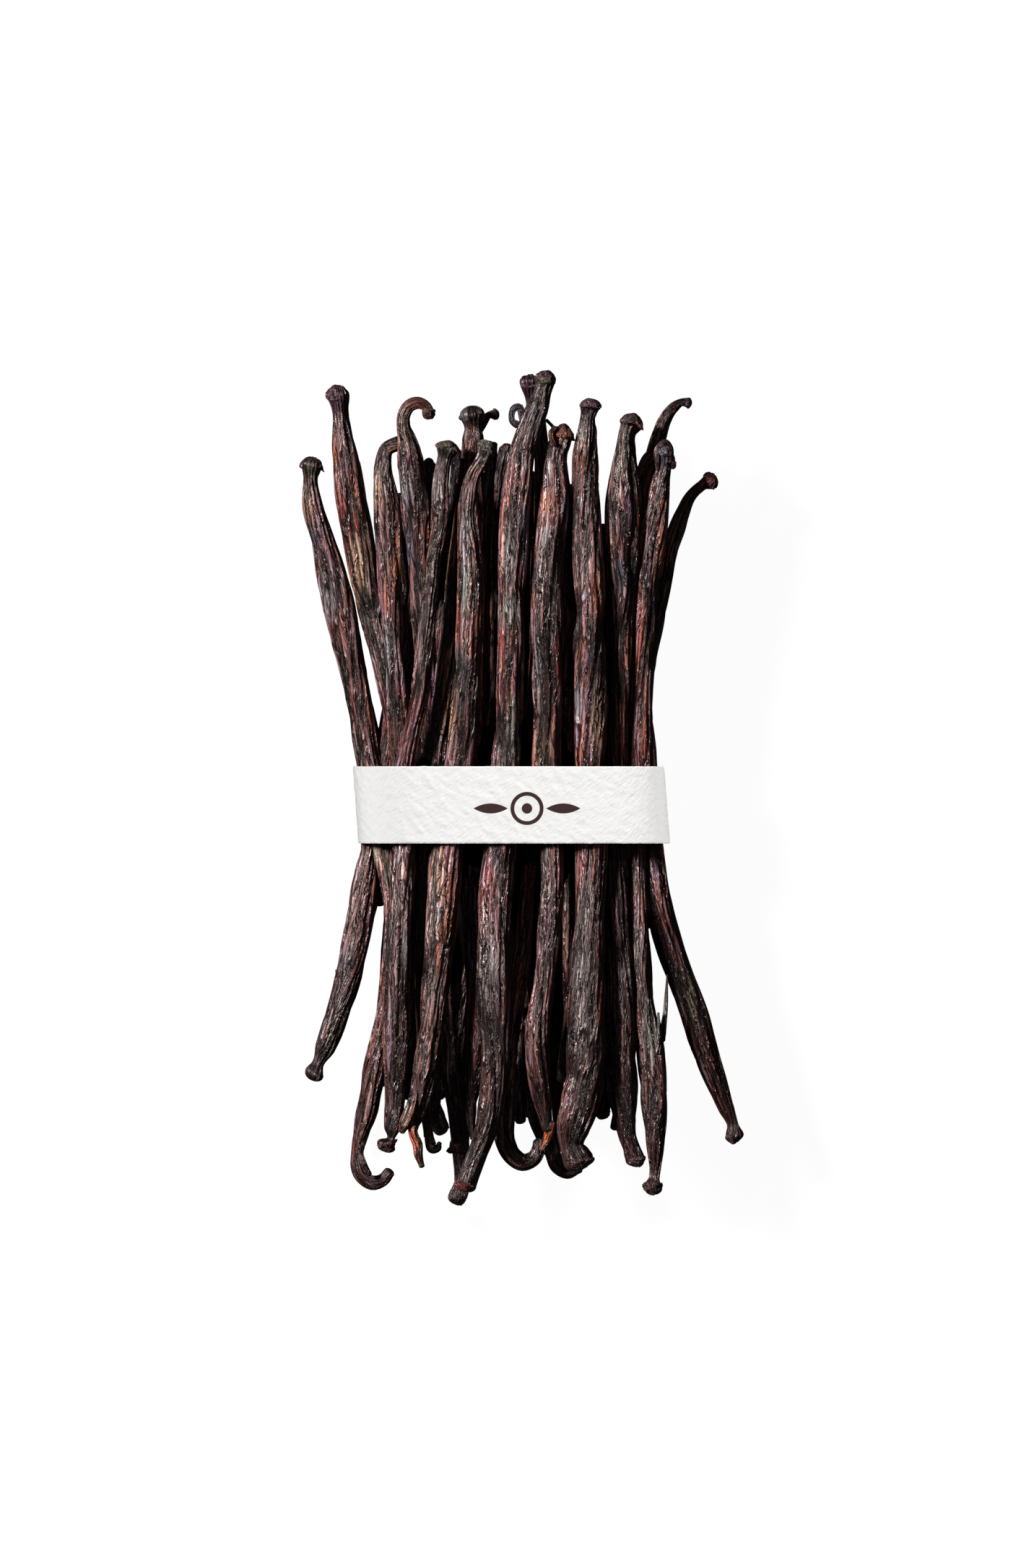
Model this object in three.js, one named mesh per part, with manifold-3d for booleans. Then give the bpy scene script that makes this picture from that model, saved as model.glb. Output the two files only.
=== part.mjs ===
import * as THREE from 'three';
import { mergeVertices } from 'three/addons/utils/BufferGeometryUtils.js';
import Module from 'manifold-3d';

// A bundle of cured vanilla pods, lying on a table and held at the waist by a paper band.
// Millimetres. +X runs across the bundle, +Y along the pods to their stem ends, +Z up.
// The origin is on the table, under the middle of the bundle's outline.

// ---- driving dimensions ----

// the paper band: a strip of thick paper wrapped square round the waist, leaning a little
const BAND_Y = -3.9;
const BAND_LENGTH = 17.4;
const BAND_WIDTH = 71.0;
const BAND_DEPTH = 32.9;
const BAND_PAPER = 0.45;
const BAND_X = -2.45;
const BAND_LEAN = 0.075;
const BAND_Z = 17.1;
const BAND_LAP = 14;
const BAND_POINTS = 72;
const BAND_SQUARENESS = 3.2;

// the heap of pods: an oval pressed flat at the waist, spread at both ends
const WAIST_HALF_WIDTH = 34.2;
const WAIST_HALF_DEPTH = 15.4;
const END_HALF_WIDTH = 49;
const END_HALF_DEPTH = 18.4;
const END_REACH = 78;
const SETTLE_REACH = 28;
const OVAL_SQUARENESS = 2.7;
const TABLE_SQUARENESS = 5;
const LEAST_EDGE = 0.12;

// the plain core that the pods are fused to
const CORE_RINGS = [
  // y, half width, half depth
  [-56, 6, 3],
  [-48, 16, 5.5],
  [-19, 24, 7],
  [-12, 31, 13.5],
  [4, 31, 13.5],
  [11, 24, 7],
  [38, 16, 5.5],
  [46, 6, 3],
];
const CORE_SIDES = 16;

// a pod is a few-sided tube with closed, rounded ends
const POD_SIDES = 6;
const END_ROUNDING = 0.34;
const END_SHOULDER = 0.7;

// the flat under the bundle where the lowest pods are pressed on the table
const PRESSED_FLAT = 1.0;

// ---- the pods that show ----

// Each pod: its lift in the heap at head, waist and foot (-1 on the table, 1 on top),
// then stations [x, y, width] from head to foot.
const PODS = {
  outer_left: {
    lift: [0.1, 0.7, 0.35],
    route: [
      [-47.7, 73.6, 5.1], [-47.9, 70.2, 3.1], [-47.2, 64.1, 4.6], [-45.4, 56.7, 5.2],
      [-42.5, 45.2, 6.9], [-38.0, 24.8, 6.2], [-34.8, 4.8, 5.4], [-32.1, -12.6, 4.9],
      [-30.2, -30.0, 4.5], [-30.8, -47.4, 4.6], [-33.6, -63.8, 4.8], [-35.0, -72.8, 4.7],
      [-36.0, -77.7, 4.1], [-37.2, -83.3, 2.9], [-37.2, -85.6, 3.2], [-36.2, -88.1, 3.4],
      [-33.8, -89.5, 3.3], [-31.6, -88.9, 2.9], [-30.2, -87.2, 2.5],
    ],
  },
  tall_left: {
    lift: [0.35, 0.2, -0.1],
    route: [
      [-42.0, 89.0, 4.9], [-41.3, 84.8, 3.3], [-40.2, 73.9, 5.4], [-38.4, 64.1, 6.8],
      [-35.7, 47.7, 7.0], [-30.7, 26.4, 6.2], [-27.0, 4.8, 4.9], [-24.8, -12.6, 4.9],
      [-22.1, -50.7, 4.6], [-19.2, -74.4, 3.3], [-17.5, -76.9, 2.1],
    ],
  },
  left_crook: {
    lift: [0.5, 0.45, 0.2],
    route: [
      [-28.0, 77.8, 3.7], [-30.4, 76.6, 3.5], [-31.6, 72.9, 3.9], [-31.4, 69.0, 5.0],
      [-30.8, 65.0, 6.1], [-29.3, 39.5, 4.8], [-28.4, 21.5, 4.6], [-27.4, 4.8, 4.4],
      [-26.6, -12.6, 4.3], [-26.9, -45.0, 4.2], [-27.4, -68.0, 3.0],
    ],
  },
  hook_top: {
    lift: [0.85, 0.35, 0.1],
    route: [
      [-21.0, 84.2, 2.8], [-21.7, 86.2, 2.3], [-23.5, 87.0, 2.6], [-25.5, 86.4, 2.7],
      [-26.8, 84.5, 2.7], [-27.0, 81.8, 2.9], [-26.2, 78.7, 4.0], [-24.9, 72.3, 6.0],
      [-23.6, 64.1, 6.4], [-22.8, 47.7, 5.8], [-20.7, 14.9, 4.9], [-19.3, -12.6, 4.9],
      [-18.2, -34.3, 4.9], [-16.9, -58.9, 4.3], [-15.8, -68.0, 3.8], [-14.6, -76.9, 3.2],
      [-14.1, -84.0, 2.7], [-14.1, -89.4, 2.2], [-14.5, -93.0, 4.3],
    ],
  },
  slim_front: {
    lift: [0.95, 1.0, 0.9],
    route: [
      [-16.7, 77.7, 4.9], [-17.4, 74.9, 2.8], [-18.3, 69.0, 3.6], [-18.5, 61.1, 4.4],
      [-19.8, 52.6, 3.8], [-22.8, 24.8, 3.9], [-26.1, 4.8, 4.3], [-26.7, -12.6, 5.2],
      [-27.9, -34.3, 5.6], [-28.2, -53.9, 5.9], [-28.9, -70.0, 4.4], [-29.6, -78.2, 1.9],
      [-30.5, -80.9, 4.4],
    ],
  },
  back_head: {
    lift: [0.5, 0.4, 0.35],
    route: [
      [-11.3, 84.4, 5.9], [-11.1, 81.6, 4.3], [-11.0, 78.9, 5.2], [-11.0, 54.3, 5.2],
      [-11.0, 24.8, 4.9], [-10.7, -12.6, 4.9], [-10.3, -37.5, 5.6], [-10.3, -55.6, 6.2],
      [-11.0, -67.0, 3.9], [-11.5, -74.9, 0.8],
    ],
  },
  peg: {
    lift: [0.25, 0.0, 0.1],
    route: [
      [-6.0, 84.7, 2.5], [-7.5, 84.5, 1.7], [-9.0, 82.9, 2.0], [-9.7, 73.9, 2.3],
      [-9.0, 54.3, 3.0], [-8.7, 4.8, 3.9], [-10.7, -17.9, 3.9], [-12.0, -38.5, 4.6],
      [-14.6, -53.9, 4.6], [-15.2, -68.7, 3.6], [-14.1, -78.0, 3.0], [-14.3, -81.5, 4.6],
    ],
  },
  second_mid: {
    lift: [0.55, 0.5, 0.3],
    route: [
      [-13.4, 73.6, 2.9], [-13.8, 64.1, 3.3], [-16.2, 39.5, 3.6], [-19.3, 4.8, 4.6],
      [-20.8, -12.6, 4.6], [-21.8, -34.3, 4.3], [-21.8, -58.9, 3.9], [-21.0, -74.4, 2.8],
      [-20.4, -81.0, 2.3], [-18.7, -81.4, 2.0],
    ],
  },
  broad_front: {
    lift: [0.95, 1.0, 0.95],
    route: [
      [-7.4, 78.3, 4.6], [-8.5, 74.9, 3.3], [-11.0, 70.3, 3.4], [-11.8, 64.1, 4.1],
      [-11.3, 42.8, 6.1], [-12.3, 26.4, 6.1], [-14.1, 4.8, 6.9], [-16.6, -12.6, 7.2],
      [-18.2, -32.6, 7.0], [-20.3, -50.7, 5.9], [-22.8, -67.0, 5.2], [-24.1, -74.4, 4.4],
      [-24.8, -79.5, 1.6],
    ],
  },
  thin_back: {
    lift: [0.35, 0.3, 0.1],
    route: [
      [-3.6, 77.6, 2.5], [-4.3, 73.9, 2.3], [-5.2, 65.7, 2.3], [-6.4, 31.3, 3.3],
      [-7.4, -12.6, 3.6], [-8.4, -42.5, 3.6], [-9.0, -63.8, 2.6],
    ],
  },
  curl_top: {
    lift: [0.35, 0.1, 0.1],
    route: [
      [-1.3, 82.0, 1.8], [-2.3, 82.7, 1.6], [-2.6, 84.6, 1.5], [-1.8, 86.2, 1.7],
      [-0.6, 86.4, 1.7], [0.1, 84.3, 1.8], [0.2, 78.9, 2.0], [-0.5, 60.8, 3.0],
      [-0.2, 31.3, 3.6], [0.5, -12.6, 3.6], [1.6, -62.1, 3.3], [3.1, -75.2, 3.4],
      [6.7, -83.1, 3.5], [8.0, -85.9, 3.5], [10.4, -87.1, 3.4], [12.8, -86.3, 2.8],
    ],
  },
  red_back: {
    lift: [0.5, 0.45, 0.55],
    route: [
      [1.6, 92.0, 4.0], [2.0, 88.0, 2.2], [3.6, 82.1, 4.2], [4.6, 73.9, 3.8],
      [4.4, 60.8, 3.9], [3.4, 34.6, 3.9], [2.1, -12.6, 3.6], [-0.2, -37.5, 3.6],
      [-3.4, -60.5, 4.4], [-4.1, -72.8, 4.9], [-3.8, -79.9, 4.9], [-2.3, -83.4, 4.5],
      [0.3, -85.1, 4.0], [3.0, -83.9, 3.4], [4.0, -81.6, 3.0], [3.9, -80.2, 2.5],
    ],
  },
  tall_mid: {
    lift: [1.0, 1.0, 1.0],
    route: [
      [5.5, 93.0, 4.5], [4.6, 89.8, 4.0], [3.3, 85.4, 5.2], [1.6, 80.5, 5.5],
      [-0.2, 75.2, 5.0], [-1.3, 65.7, 5.6], [-2.6, 31.3, 5.4], [-3.3, 10.0, 6.4],
      [-5.1, -12.6, 7.0], [-6.9, -49.0, 7.9], [-6.3, -62.1, 6.8], [-7.6, -73.6, 6.0],
      [-11.2, -85.1, 4.7], [-12.7, -89.7, 4.7],
    ],
  },
  right_mid: {
    lift: [0.9, 1.0, 0.95],
    route: [
      [9.0, 80.1, 5.3], [8.1, 76.9, 4.0], [8.0, 65.7, 6.0], [6.6, 54.3, 6.4],
      [5.6, 37.9, 7.5], [5.9, 21.5, 6.6], [5.7, 4.8, 6.9], [6.6, -12.6, 5.6],
      [6.1, -29.3, 5.1], [5.2, -44.1, 4.6], [3.6, -57.2, 5.4], [4.1, -68.7, 4.4],
      [5.8, -77.2, 2.3],
    ],
  },
  gap_right: {
    lift: [0.35, 0.35, 0.3],
    route: [
      [10.6, 66.0, 3.2], [10.3, 38.0, 3.6], [10.8, -12.6, 3.8], [11.2, -40.0, 3.8],
      [9.4, -66.0, 2.6],
    ],
  },
  big_right: {
    lift: [1.0, 1.0, 1.0],
    route: [
      [15.5, 86.2, 4.7], [14.9, 83.8, 3.5], [14.7, 79.5, 4.9], [14.2, 73.5, 5.9],
      [14.6, 59.2, 6.4], [15.2, 36.2, 7.0], [15.7, 14.9, 7.5], [15.7, -3.9, 7.2],
      [15.4, -26.1, 6.4], [14.9, -45.7, 7.9], [14.3, -61.3, 9.5], [13.0, -72.8, 8.6],
      [11.8, -77.0, 7.8], [11.4, -81.0, 5.6], [12.8, -84.0, 6.8],
    ],
  },
  hump_right: {
    lift: [0.85, 0.7, 0.75],
    route: [
      [24.9, 83.0, 5.4], [23.8, 80.6, 3.9], [23.4, 75.5, 5.2], [23.3, 69.0, 7.1],
      [23.1, 63.3, 8.0], [22.6, 47.7, 6.8], [22.1, 28.0, 4.8], [21.6, -8.0, 4.3],
      [21.6, -29.3, 4.9], [22.5, -49.0, 6.4], [22.9, -66.0, 6.8], [23.8, -75.6, 4.8],
      [24.2, -79.0, 3.9], [25.0, -82.0, 4.2], [25.6, -84.0, 4.6],
    ],
  },
  split_right: {
    lift: [0.8, 0.6, 0.8],
    route: [
      [32.2, 77.4, 4.4], [32.4, 73.0, 2.9], [31.2, 68.0, 4.6], [30.5, 63.8, 5.5],
      [29.9, 58.4, 6.2], [28.4, 44.4, 5.4], [26.9, 26.4, 4.6], [25.9, -4.0, 4.1],
      [26.9, -31.0, 3.8], [28.0, -48.2, 5.2], [29.5, -58.9, 5.9], [30.2, -70.0, 5.6],
      [30.4, -80.6, 4.0], [30.1, -88.2, 2.3], [29.6, -90.4, 4.4],
    ],
  },
  outer_right: {
    lift: [0.4, 0.9, 0.6],
    route: [
      [42.9, 69.6, 3.9], [40.9, 68.4, 2.5], [38.6, 66.1, 2.6], [36.6, 62.0, 2.9],
      [35.0, 57.5, 3.5], [31.9, 42.8, 3.3], [28.8, 28.0, 3.9], [27.4, 4.8, 5.7],
      [28.3, -12.6, 6.2], [30.3, -24.4, 6.1], [35.1, -40.8, 6.2], [39.2, -51.5, 6.7],
      [43.0, -63.8, 5.4], [46.4, -72.8, 3.7], [47.8, -76.4, 2.5], [48.3, -79.0, 3.9],
    ],
  },
  far_curve: {
    lift: [0.3, 0.2, 0.3],
    route: [
      [37.7, 87.2, 2.4], [36.3, 87.3, 1.9], [34.5, 86.1, 2.4], [32.3, 83.1, 2.9],
      [30.9, 79.7, 3.2], [29.4, 74.8, 3.4], [28.2, 65.7, 3.3], [25.1, 23.1, 3.6],
      [24.4, -12.6, 3.3], [24.8, -50.7, 3.0], [23.4, -65.4, 2.6], [20.8, -76.9, 2.3],
    ],
  },
  striped_back: {
    lift: [0.35, 0.1, 0.2],
    route: [
      [34.1, 72.3, 1.9], [34.0, 74.4, 2.2], [32.3, 75.6, 3.1], [29.7, 74.6, 4.3],
      [27.5, 69.8, 4.6], [26.2, 60.8, 4.9], [23.8, 14.9, 4.3], [21.8, -3.9, 3.9],
      [19.5, -26.1, 4.3], [18.5, -50.7, 3.9], [18.2, -72.8, 3.6],
    ],
  },
  lower_left: {
    lift: [0.4, 0.1, 0.0],
    route: [
      [-21.1, 73.2, 2.6], [-21.3, 69.0, 3.0], [-22.6, 54.3, 3.3], [-26.7, 31.3, 3.3],
      [-30.8, 8.4, 3.3], [-34.4, -12.6, 4.1], [-35.7, -24.4, 6.1], [-38.5, -40.8, 6.4],
      [-41.5, -50.7, 5.9], [-44.4, -58.9, 4.6], [-46.1, -62.6, 2.6], [-47.2, -65.1, 4.3],
    ],
  },
};

// ---- the pods underneath ----

// Just under the ones that show, a row that fills the gaps between them. Each pod runs down the
// middle of one gap to the waist and down the middle of another to its foot, from left to right:
// [the pod on the gap's left, the pod on its right, where the end is].
const GAP_ROW = [
  { head: ['tall_left', 'left_crook', 46], foot: ['lower_left', 'outer_left', -30] },
  { head: ['left_crook', 'hook_top', 63], foot: ['outer_left', 'slim_front', -67] },
  { head: ['hook_top', 'slim_front', 74], foot: ['slim_front', 'broad_front', -70] },
  { head: ['slim_front', 'second_mid', 77], foot: ['second_mid', 'hook_top', -68] },
  { head: ['peg', 'thin_back', 67], foot: ['hook_top', 'tall_mid', -84] },
  { head: ['curl_top', 'red_back', 66], foot: ['red_back', 'right_mid', -74] },
  { head: ['right_mid', 'big_right', 67], foot: ['right_mid', 'big_right', -82] },
  { head: ['big_right', 'hump_right', 55], foot: ['big_right', 'hump_right', -71] },
  { head: ['hump_right', 'striped_back', 72], foot: ['hump_right', 'split_right', -55] },
  { head: ['split_right', 'outer_right', 55], foot: ['split_right', 'outer_right', -34] },
];
const GAP_LIFT = -0.1;
const GAP_HALF_WIDTH = 29.5;
const GAP_WIDTH = 4.8;
const GAP_Y = [54, 38, 22, 6, -14, -28, -42, -56];

// Rows below that. Each pod is spread evenly at the waist, and its two ends
// lie under the head of one pod and the foot of another, in order from left to right.
const UNDER_HEADS = ['outer_left', 'tall_left', 'left_crook', 'hook_top', 'slim_front', 'back_head',
  'tall_mid', 'right_mid', 'big_right', 'hump_right', 'split_right', 'outer_right'];
const UNDER_FEET = ['lower_left', 'outer_left', 'slim_front', 'broad_front', 'hook_top', 'back_head',
  'tall_mid', 'right_mid', 'big_right', 'hump_right', 'split_right', 'outer_right'];
const UNDER_ROWS = [
  { lift: -0.6, halfWidth: 30.5, skip: 11 },
  { lift: -1, halfWidth: 27, skip: 0 },
];
const UNDER_SIDES = 5;
const UNDER_WIDTH = 5.6;
const UNDER_WIDER = 0.7;
const UNDER_TIP = 0.6;
// where their stations are, between their two ends
const UNDER_Y = [38, 22, 6, -14, -28, -42];
const UNDER_HOST_REACH = 32;
const LEAST_STEP = 9;
// their ends stop short of their hosts' by a least length and a share of a range
const UNDER_CUT = 6;
const UNDER_CUT_RANGE = 18;
const HEAD_SHARE = 0.618;
const FOOT_SHARE = 0.755;

// ---- helpers ----

const { lerp, clamp, smoothstep } = THREE.MathUtils;

// How far a place along the bundle is from the waist, 0 at the band to 1 past a reach.
function awayFromBand(y, reach) {
  return clamp((Math.abs(y - BAND_Y) - BAND_LENGTH / 2) / reach, 0, 1);
}

// The middle of the heap's oval, at its place along the bundle.
function middleAt(y) {
  const settled = smoothstep(awayFromBand(y, SETTLE_REACH), 0, 1);
  return {
    x: lerp(BAND_X, 0, awayFromBand(y, END_REACH)),
    z: lerp(BAND_Z, END_HALF_DEPTH - PRESSED_FLAT, settled),
  };
}

// The height of a pod's centre above the table, from its place across and its lift in the heap.
function heightAt(x, y, lift, radius) {
  const spread = awayFromBand(y, END_REACH);
  const settled = smoothstep(awayFromBand(y, SETTLE_REACH), 0, 1);
  const halfWidth = lerp(WAIST_HALF_WIDTH, END_HALF_WIDTH, spread) - radius;
  const halfDepth = lerp(WAIST_HALF_DEPTH, END_HALF_DEPTH, settled) - radius;
  const squareness = lerp(OVAL_SQUARENESS, lift < 0 ? TABLE_SQUARENESS : OVAL_SQUARENESS, settled);
  const middle = middleAt(y);
  const across = Math.min(Math.abs(x - middle.x) / halfWidth, 1);
  const edge = Math.pow(1 - Math.pow(across, squareness), 1 / squareness);
  return middle.z + lift * halfDepth * Math.max(edge, LEAST_EDGE);
}

// A pod's lift along its length, eased from the waist to its own two ends.
function liftAt(y, lift, headY, footY) {
  const end = y > BAND_Y ? headY : footY;
  const share = clamp((y - BAND_Y) / (end - BAND_Y), 0, 1);
  return lerp(lift[1], y > BAND_Y ? lift[0] : lift[2], smoothstep(share, 0, 1));
}

// A route's stations as points in space with a width, closed with a rounded tip at both ends.
function podStations({ lift, route }) {
  const radius = Math.max(...route.map(([, , width]) => width)) / 2;
  const headY = route[0][1];
  const footY = route[route.length - 1][1];
  const stations = route.map(([x, y, width]) => ({
    point: new THREE.Vector3(x, y, heightAt(x, y, liftAt(y, lift, headY, footY), radius)),
    width,
  }));
  const closed = (first, second) => {
    const outward = first.point.clone().sub(second.point).normalize();
    const at = (share) => first.point.clone().addScaledVector(outward, share * first.width * END_ROUNDING);
    return [{ point: at(1), width: 0 }, { point: at(0.6), width: first.width * END_SHOULDER }];
  };
  const last = stations.length - 1;
  return [
    ...closed(stations[0], stations[1]),
    ...stations,
    ...closed(stations[last], stations[last - 1]).reverse(),
  ];
}

// A pod's solid: a turned shape whose profile is the widths, bent along the route.
function podGeometry(pod, sides) {
  const stations = podStations(pod).reverse();
  const last = stations.length - 1;
  const curve = new THREE.CatmullRomCurve3(stations.map((station) => station.point));
  const profile = stations.map((station, index) => new THREE.Vector2(station.width / 2, index));
  const geometry = new THREE.LatheGeometry(profile, sides);
  const position = geometry.getAttribute('position');
  const turned = new THREE.Vector3();
  for (let i = 0; i < position.count; i += 1) {
    turned.fromBufferAttribute(position, i);
    const share = turned.y / last;
    const along = curve.getTangent(share);
    const side = new THREE.Vector3().crossVectors(along, new THREE.Vector3(0, 0, 1)).normalize();
    const up = new THREE.Vector3().crossVectors(side, along);
    const place = curve.getPoint(share).addScaledVector(side, turned.x).addScaledVector(up, turned.z);
    position.setXYZ(i, place.x, place.y, place.z);
  }
  return geometry;
}

// Where a route is at a place along the bundle, and how wide.
function routeAt(route, y) {
  const below = route.findIndex(([, stationY]) => stationY <= y);
  const next = below < 0 ? route.length - 1 : Math.max(1, below);
  const [x0, y0, width0] = route[next - 1];
  const [x1, y1, width1] = route[next];
  const share = clamp((y - y0) / (y1 - y0), 0, 1);
  return { x: lerp(x0, x1, share), width: lerp(width0, width1, share) };
}

// How far a place along the bundle is from the waist's own spacing, 0 to 1 at the pods' spacing.
function awayFromWaist(y) {
  return smoothstep(Math.abs(y - BAND_Y) / UNDER_HOST_REACH, 0, 1);
}

// Where one of a row's evenly spaced pods crosses the waist.
function waistX(slot, count, halfWidth) {
  return BAND_X + halfWidth * ((2 * slot) / (count - 1) - 1);
}

// The middle of the gap between two pods, at a place along the bundle.
function gapX([left, right], y) {
  const leftPod = routeAt(PODS[left].route, y);
  const rightPod = routeAt(PODS[right].route, y);
  return (leftPod.x + leftPod.width / 2 + rightPod.x - rightPod.width / 2) / 2;
}

// The row that fills the gaps.
function gapPods() {
  return GAP_ROW.map(({ head, foot }, slot) => {
    const [top, bottom] = [head[2], foot[2]];
    const between = GAP_Y.filter((y) => y < top - LEAST_STEP && y > bottom + LEAST_STEP);
    const route = [top, ...between, bottom].map((y) => {
      const middle = waistX(slot, GAP_ROW.length, GAP_HALF_WIDTH);
      const x = lerp(middle, gapX(y > BAND_Y ? head : foot, y), awayFromWaist(y));
      return [x, y, y === top || y === bottom ? GAP_WIDTH * UNDER_TIP : GAP_WIDTH];
    });
    return { lift: [GAP_LIFT, GAP_LIFT, GAP_LIFT], route };
  });
}

// The pods underneath, row by row. Their ends are cut back by a rule that never repeats.
function underPods() {
  const found = [];
  for (const { lift, halfWidth, skip } of UNDER_ROWS) {
    const heads = UNDER_HEADS.filter((name, index) => index !== skip);
    const feet = UNDER_FEET.filter((name, index) => index !== skip);
    heads.forEach((name, slot) => {
      const head = PODS[name].route;
      const foot = PODS[feet[slot]].route;
      const order = found.length + 1;
      const headCut = UNDER_CUT + UNDER_CUT_RANGE * ((order * HEAD_SHARE) % 1);
      const footCut = UNDER_CUT + UNDER_CUT_RANGE * ((order * FOOT_SHARE) % 1);
      const top = Math.max(...head.map(([, y]) => y)) - headCut;
      const bottom = Math.min(...foot.map(([, y]) => y)) + footCut;
      const route = [top, ...UNDER_Y, bottom].map((y) => {
        const at = routeAt(y > BAND_Y ? head : foot, y);
        const away = awayFromWaist(y);
        const full = Math.min(UNDER_WIDTH, lerp(UNDER_WIDTH, at.width + UNDER_WIDER, away));
        const x = lerp(waistX(slot, heads.length, halfWidth), at.x, away);
        return [x, y, y === top || y === bottom ? full * UNDER_TIP : full];
      });
      found.push({ lift: [lift, lift, lift], route });
    });
  }
  return found;
}

// The core: ovals of the heap's own shape, skinned from end to end.
function coreGeometry() {
  const profile = [
    new THREE.Vector2(0, 0),
    ...CORE_RINGS.map((ring, index) => new THREE.Vector2(1, index)),
    new THREE.Vector2(0, CORE_RINGS.length - 1),
  ];
  const geometry = new THREE.LatheGeometry(profile, CORE_SIDES);
  const position = geometry.getAttribute('position');
  for (let i = 0; i < position.count; i += 1) {
    const [y, halfWidth, halfDepth] = CORE_RINGS[Math.round(position.getY(i))];
    const middle = middleAt(y);
    const x = middle.x + position.getX(i) * halfWidth;
    position.setXYZ(i, x, y, middle.z + position.getZ(i) * halfDepth);
  }
  return geometry;
}

// A manifold-3d solid from a closed three.js geometry.
function solid(wasm, geometry) {
  const bare = geometry.index ? geometry.toNonIndexed() : geometry.clone();
  bare.deleteAttribute('normal');
  bare.deleteAttribute('uv');
  const merged = mergeVertices(bare, 1e-4);
  const corners = merged.index.array;
  const kept = [];
  for (let i = 0; i < corners.length; i += 3) {
    const [a, b, c] = corners.slice(i, i + 3);
    if (a !== b && b !== c && c !== a) kept.push(a, b, c);
  }
  return new wasm.Manifold(new wasm.Mesh({
    numProp: 3,
    vertProperties: new Float32Array(merged.getAttribute('position').array),
    triVerts: new Uint32Array(kept),
  }));
}

// A three.js geometry from a manifold-3d solid, faceted.
function facets(shape) {
  const { vertProperties, triVerts } = shape.getMesh();
  const geometry = new THREE.BufferGeometry();
  geometry.setAttribute('position', new THREE.BufferAttribute(vertProperties, 3));
  geometry.setIndex(new THREE.BufferAttribute(triVerts, 1));
  const flat = geometry.toNonIndexed();
  flat.computeVertexNormals();
  return flat;
}

// ---- the two pieces ----

// All the pods as one body: fused to the core, pressed flat on the table.
// What fusing sealed off inside is dropped, so the biggest shell is kept alone.
function podsGeometry(wasm) {
  const shown = Object.values(PODS).map((pod) => podGeometry(pod, POD_SIDES));
  const under = [...gapPods(), ...underPods()].map((pod) => podGeometry(pod, UNDER_SIDES));
  const parts = [coreGeometry(), ...shown, ...under].map((geometry) => solid(wasm, geometry));
  const table = new THREE.BoxGeometry(300, 300, 50);
  table.translate(0, 0, -25);
  const heap = wasm.Manifold.union(parts).subtract(solid(wasm, table));
  const shells = heap.decompose().sort((a, b) => b.volume() - a.volume());
  return facets(shells[0]);
}

// One side of the band's paper as an outline: a rounded box seen along the pods.
function bandOutline(width, depth, lapThickness) {
  const power = 2 / BAND_SQUARENESS;
  const points = [];
  for (let i = 0; i < BAND_POINTS; i += 1) {
    const angle = (2 * Math.PI * i) / BAND_POINTS;
    const x = (Math.sign(Math.cos(angle)) * Math.pow(Math.abs(Math.cos(angle)), power) * width) / 2;
    const z = (Math.sign(Math.sin(angle)) * Math.pow(Math.abs(Math.sin(angle)), power) * depth) / 2;
    const lapped = z < 0 && Math.abs(x) < BAND_LAP / 2;
    points.push(new THREE.Vector2(x, lapped ? z - lapThickness : z));
  }
  return points;
}

// The paper band: a closed strip round the waist, glued to itself with a lap underneath.
function bandGeometry() {
  const strip = new THREE.Shape(bandOutline(BAND_WIDTH, BAND_DEPTH, BAND_PAPER));
  const inside = bandOutline(BAND_WIDTH - 2 * BAND_PAPER, BAND_DEPTH - 2 * BAND_PAPER, 0);
  strip.holes.push(new THREE.Path(inside));
  const geometry = new THREE.ExtrudeGeometry(strip, { depth: BAND_LENGTH, bevelEnabled: false });
  geometry.translate(0, 0, -BAND_LENGTH / 2);
  geometry.rotateX(Math.PI / 2);
  const position = geometry.getAttribute('position');
  for (let i = 0; i < position.count; i += 1) {
    position.setX(i, position.getX(i) - BAND_LEAN * position.getY(i));
  }
  return geometry;
}

const wasm = await Module();
wasm.setup();

const bundle = new THREE.Group();

const pods = new THREE.Mesh(
  podsGeometry(wasm),
  new THREE.MeshStandardMaterial({ color: 0x3a221c, roughness: 0.45, metalness: 0 }),
);
pods.name = 'vanilla_pods';
bundle.add(pods);

const band = new THREE.Mesh(
  bandGeometry(),
  new THREE.MeshStandardMaterial({ color: 0xf2f1ee, roughness: 0.9, metalness: 0 }),
);
band.name = 'paper_band';
band.position.set(BAND_X, BAND_Y, BAND_Z);
bundle.add(band);

export default bundle;
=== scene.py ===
import itertools
import math

import bmesh
import bpy
import numpy as np
from mathutils import Matrix, Vector, noise


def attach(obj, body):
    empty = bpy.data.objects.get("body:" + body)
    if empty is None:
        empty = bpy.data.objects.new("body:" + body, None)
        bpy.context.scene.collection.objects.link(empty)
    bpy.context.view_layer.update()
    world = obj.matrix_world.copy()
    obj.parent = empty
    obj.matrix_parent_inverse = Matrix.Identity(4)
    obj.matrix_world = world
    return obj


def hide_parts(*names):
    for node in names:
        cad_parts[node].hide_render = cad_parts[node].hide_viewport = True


# A bundle of cured vanilla pods, lying on a table and held at the waist by a paper band.
# Lengths are in millimetres until a mesh is written, which is in metres.

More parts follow.
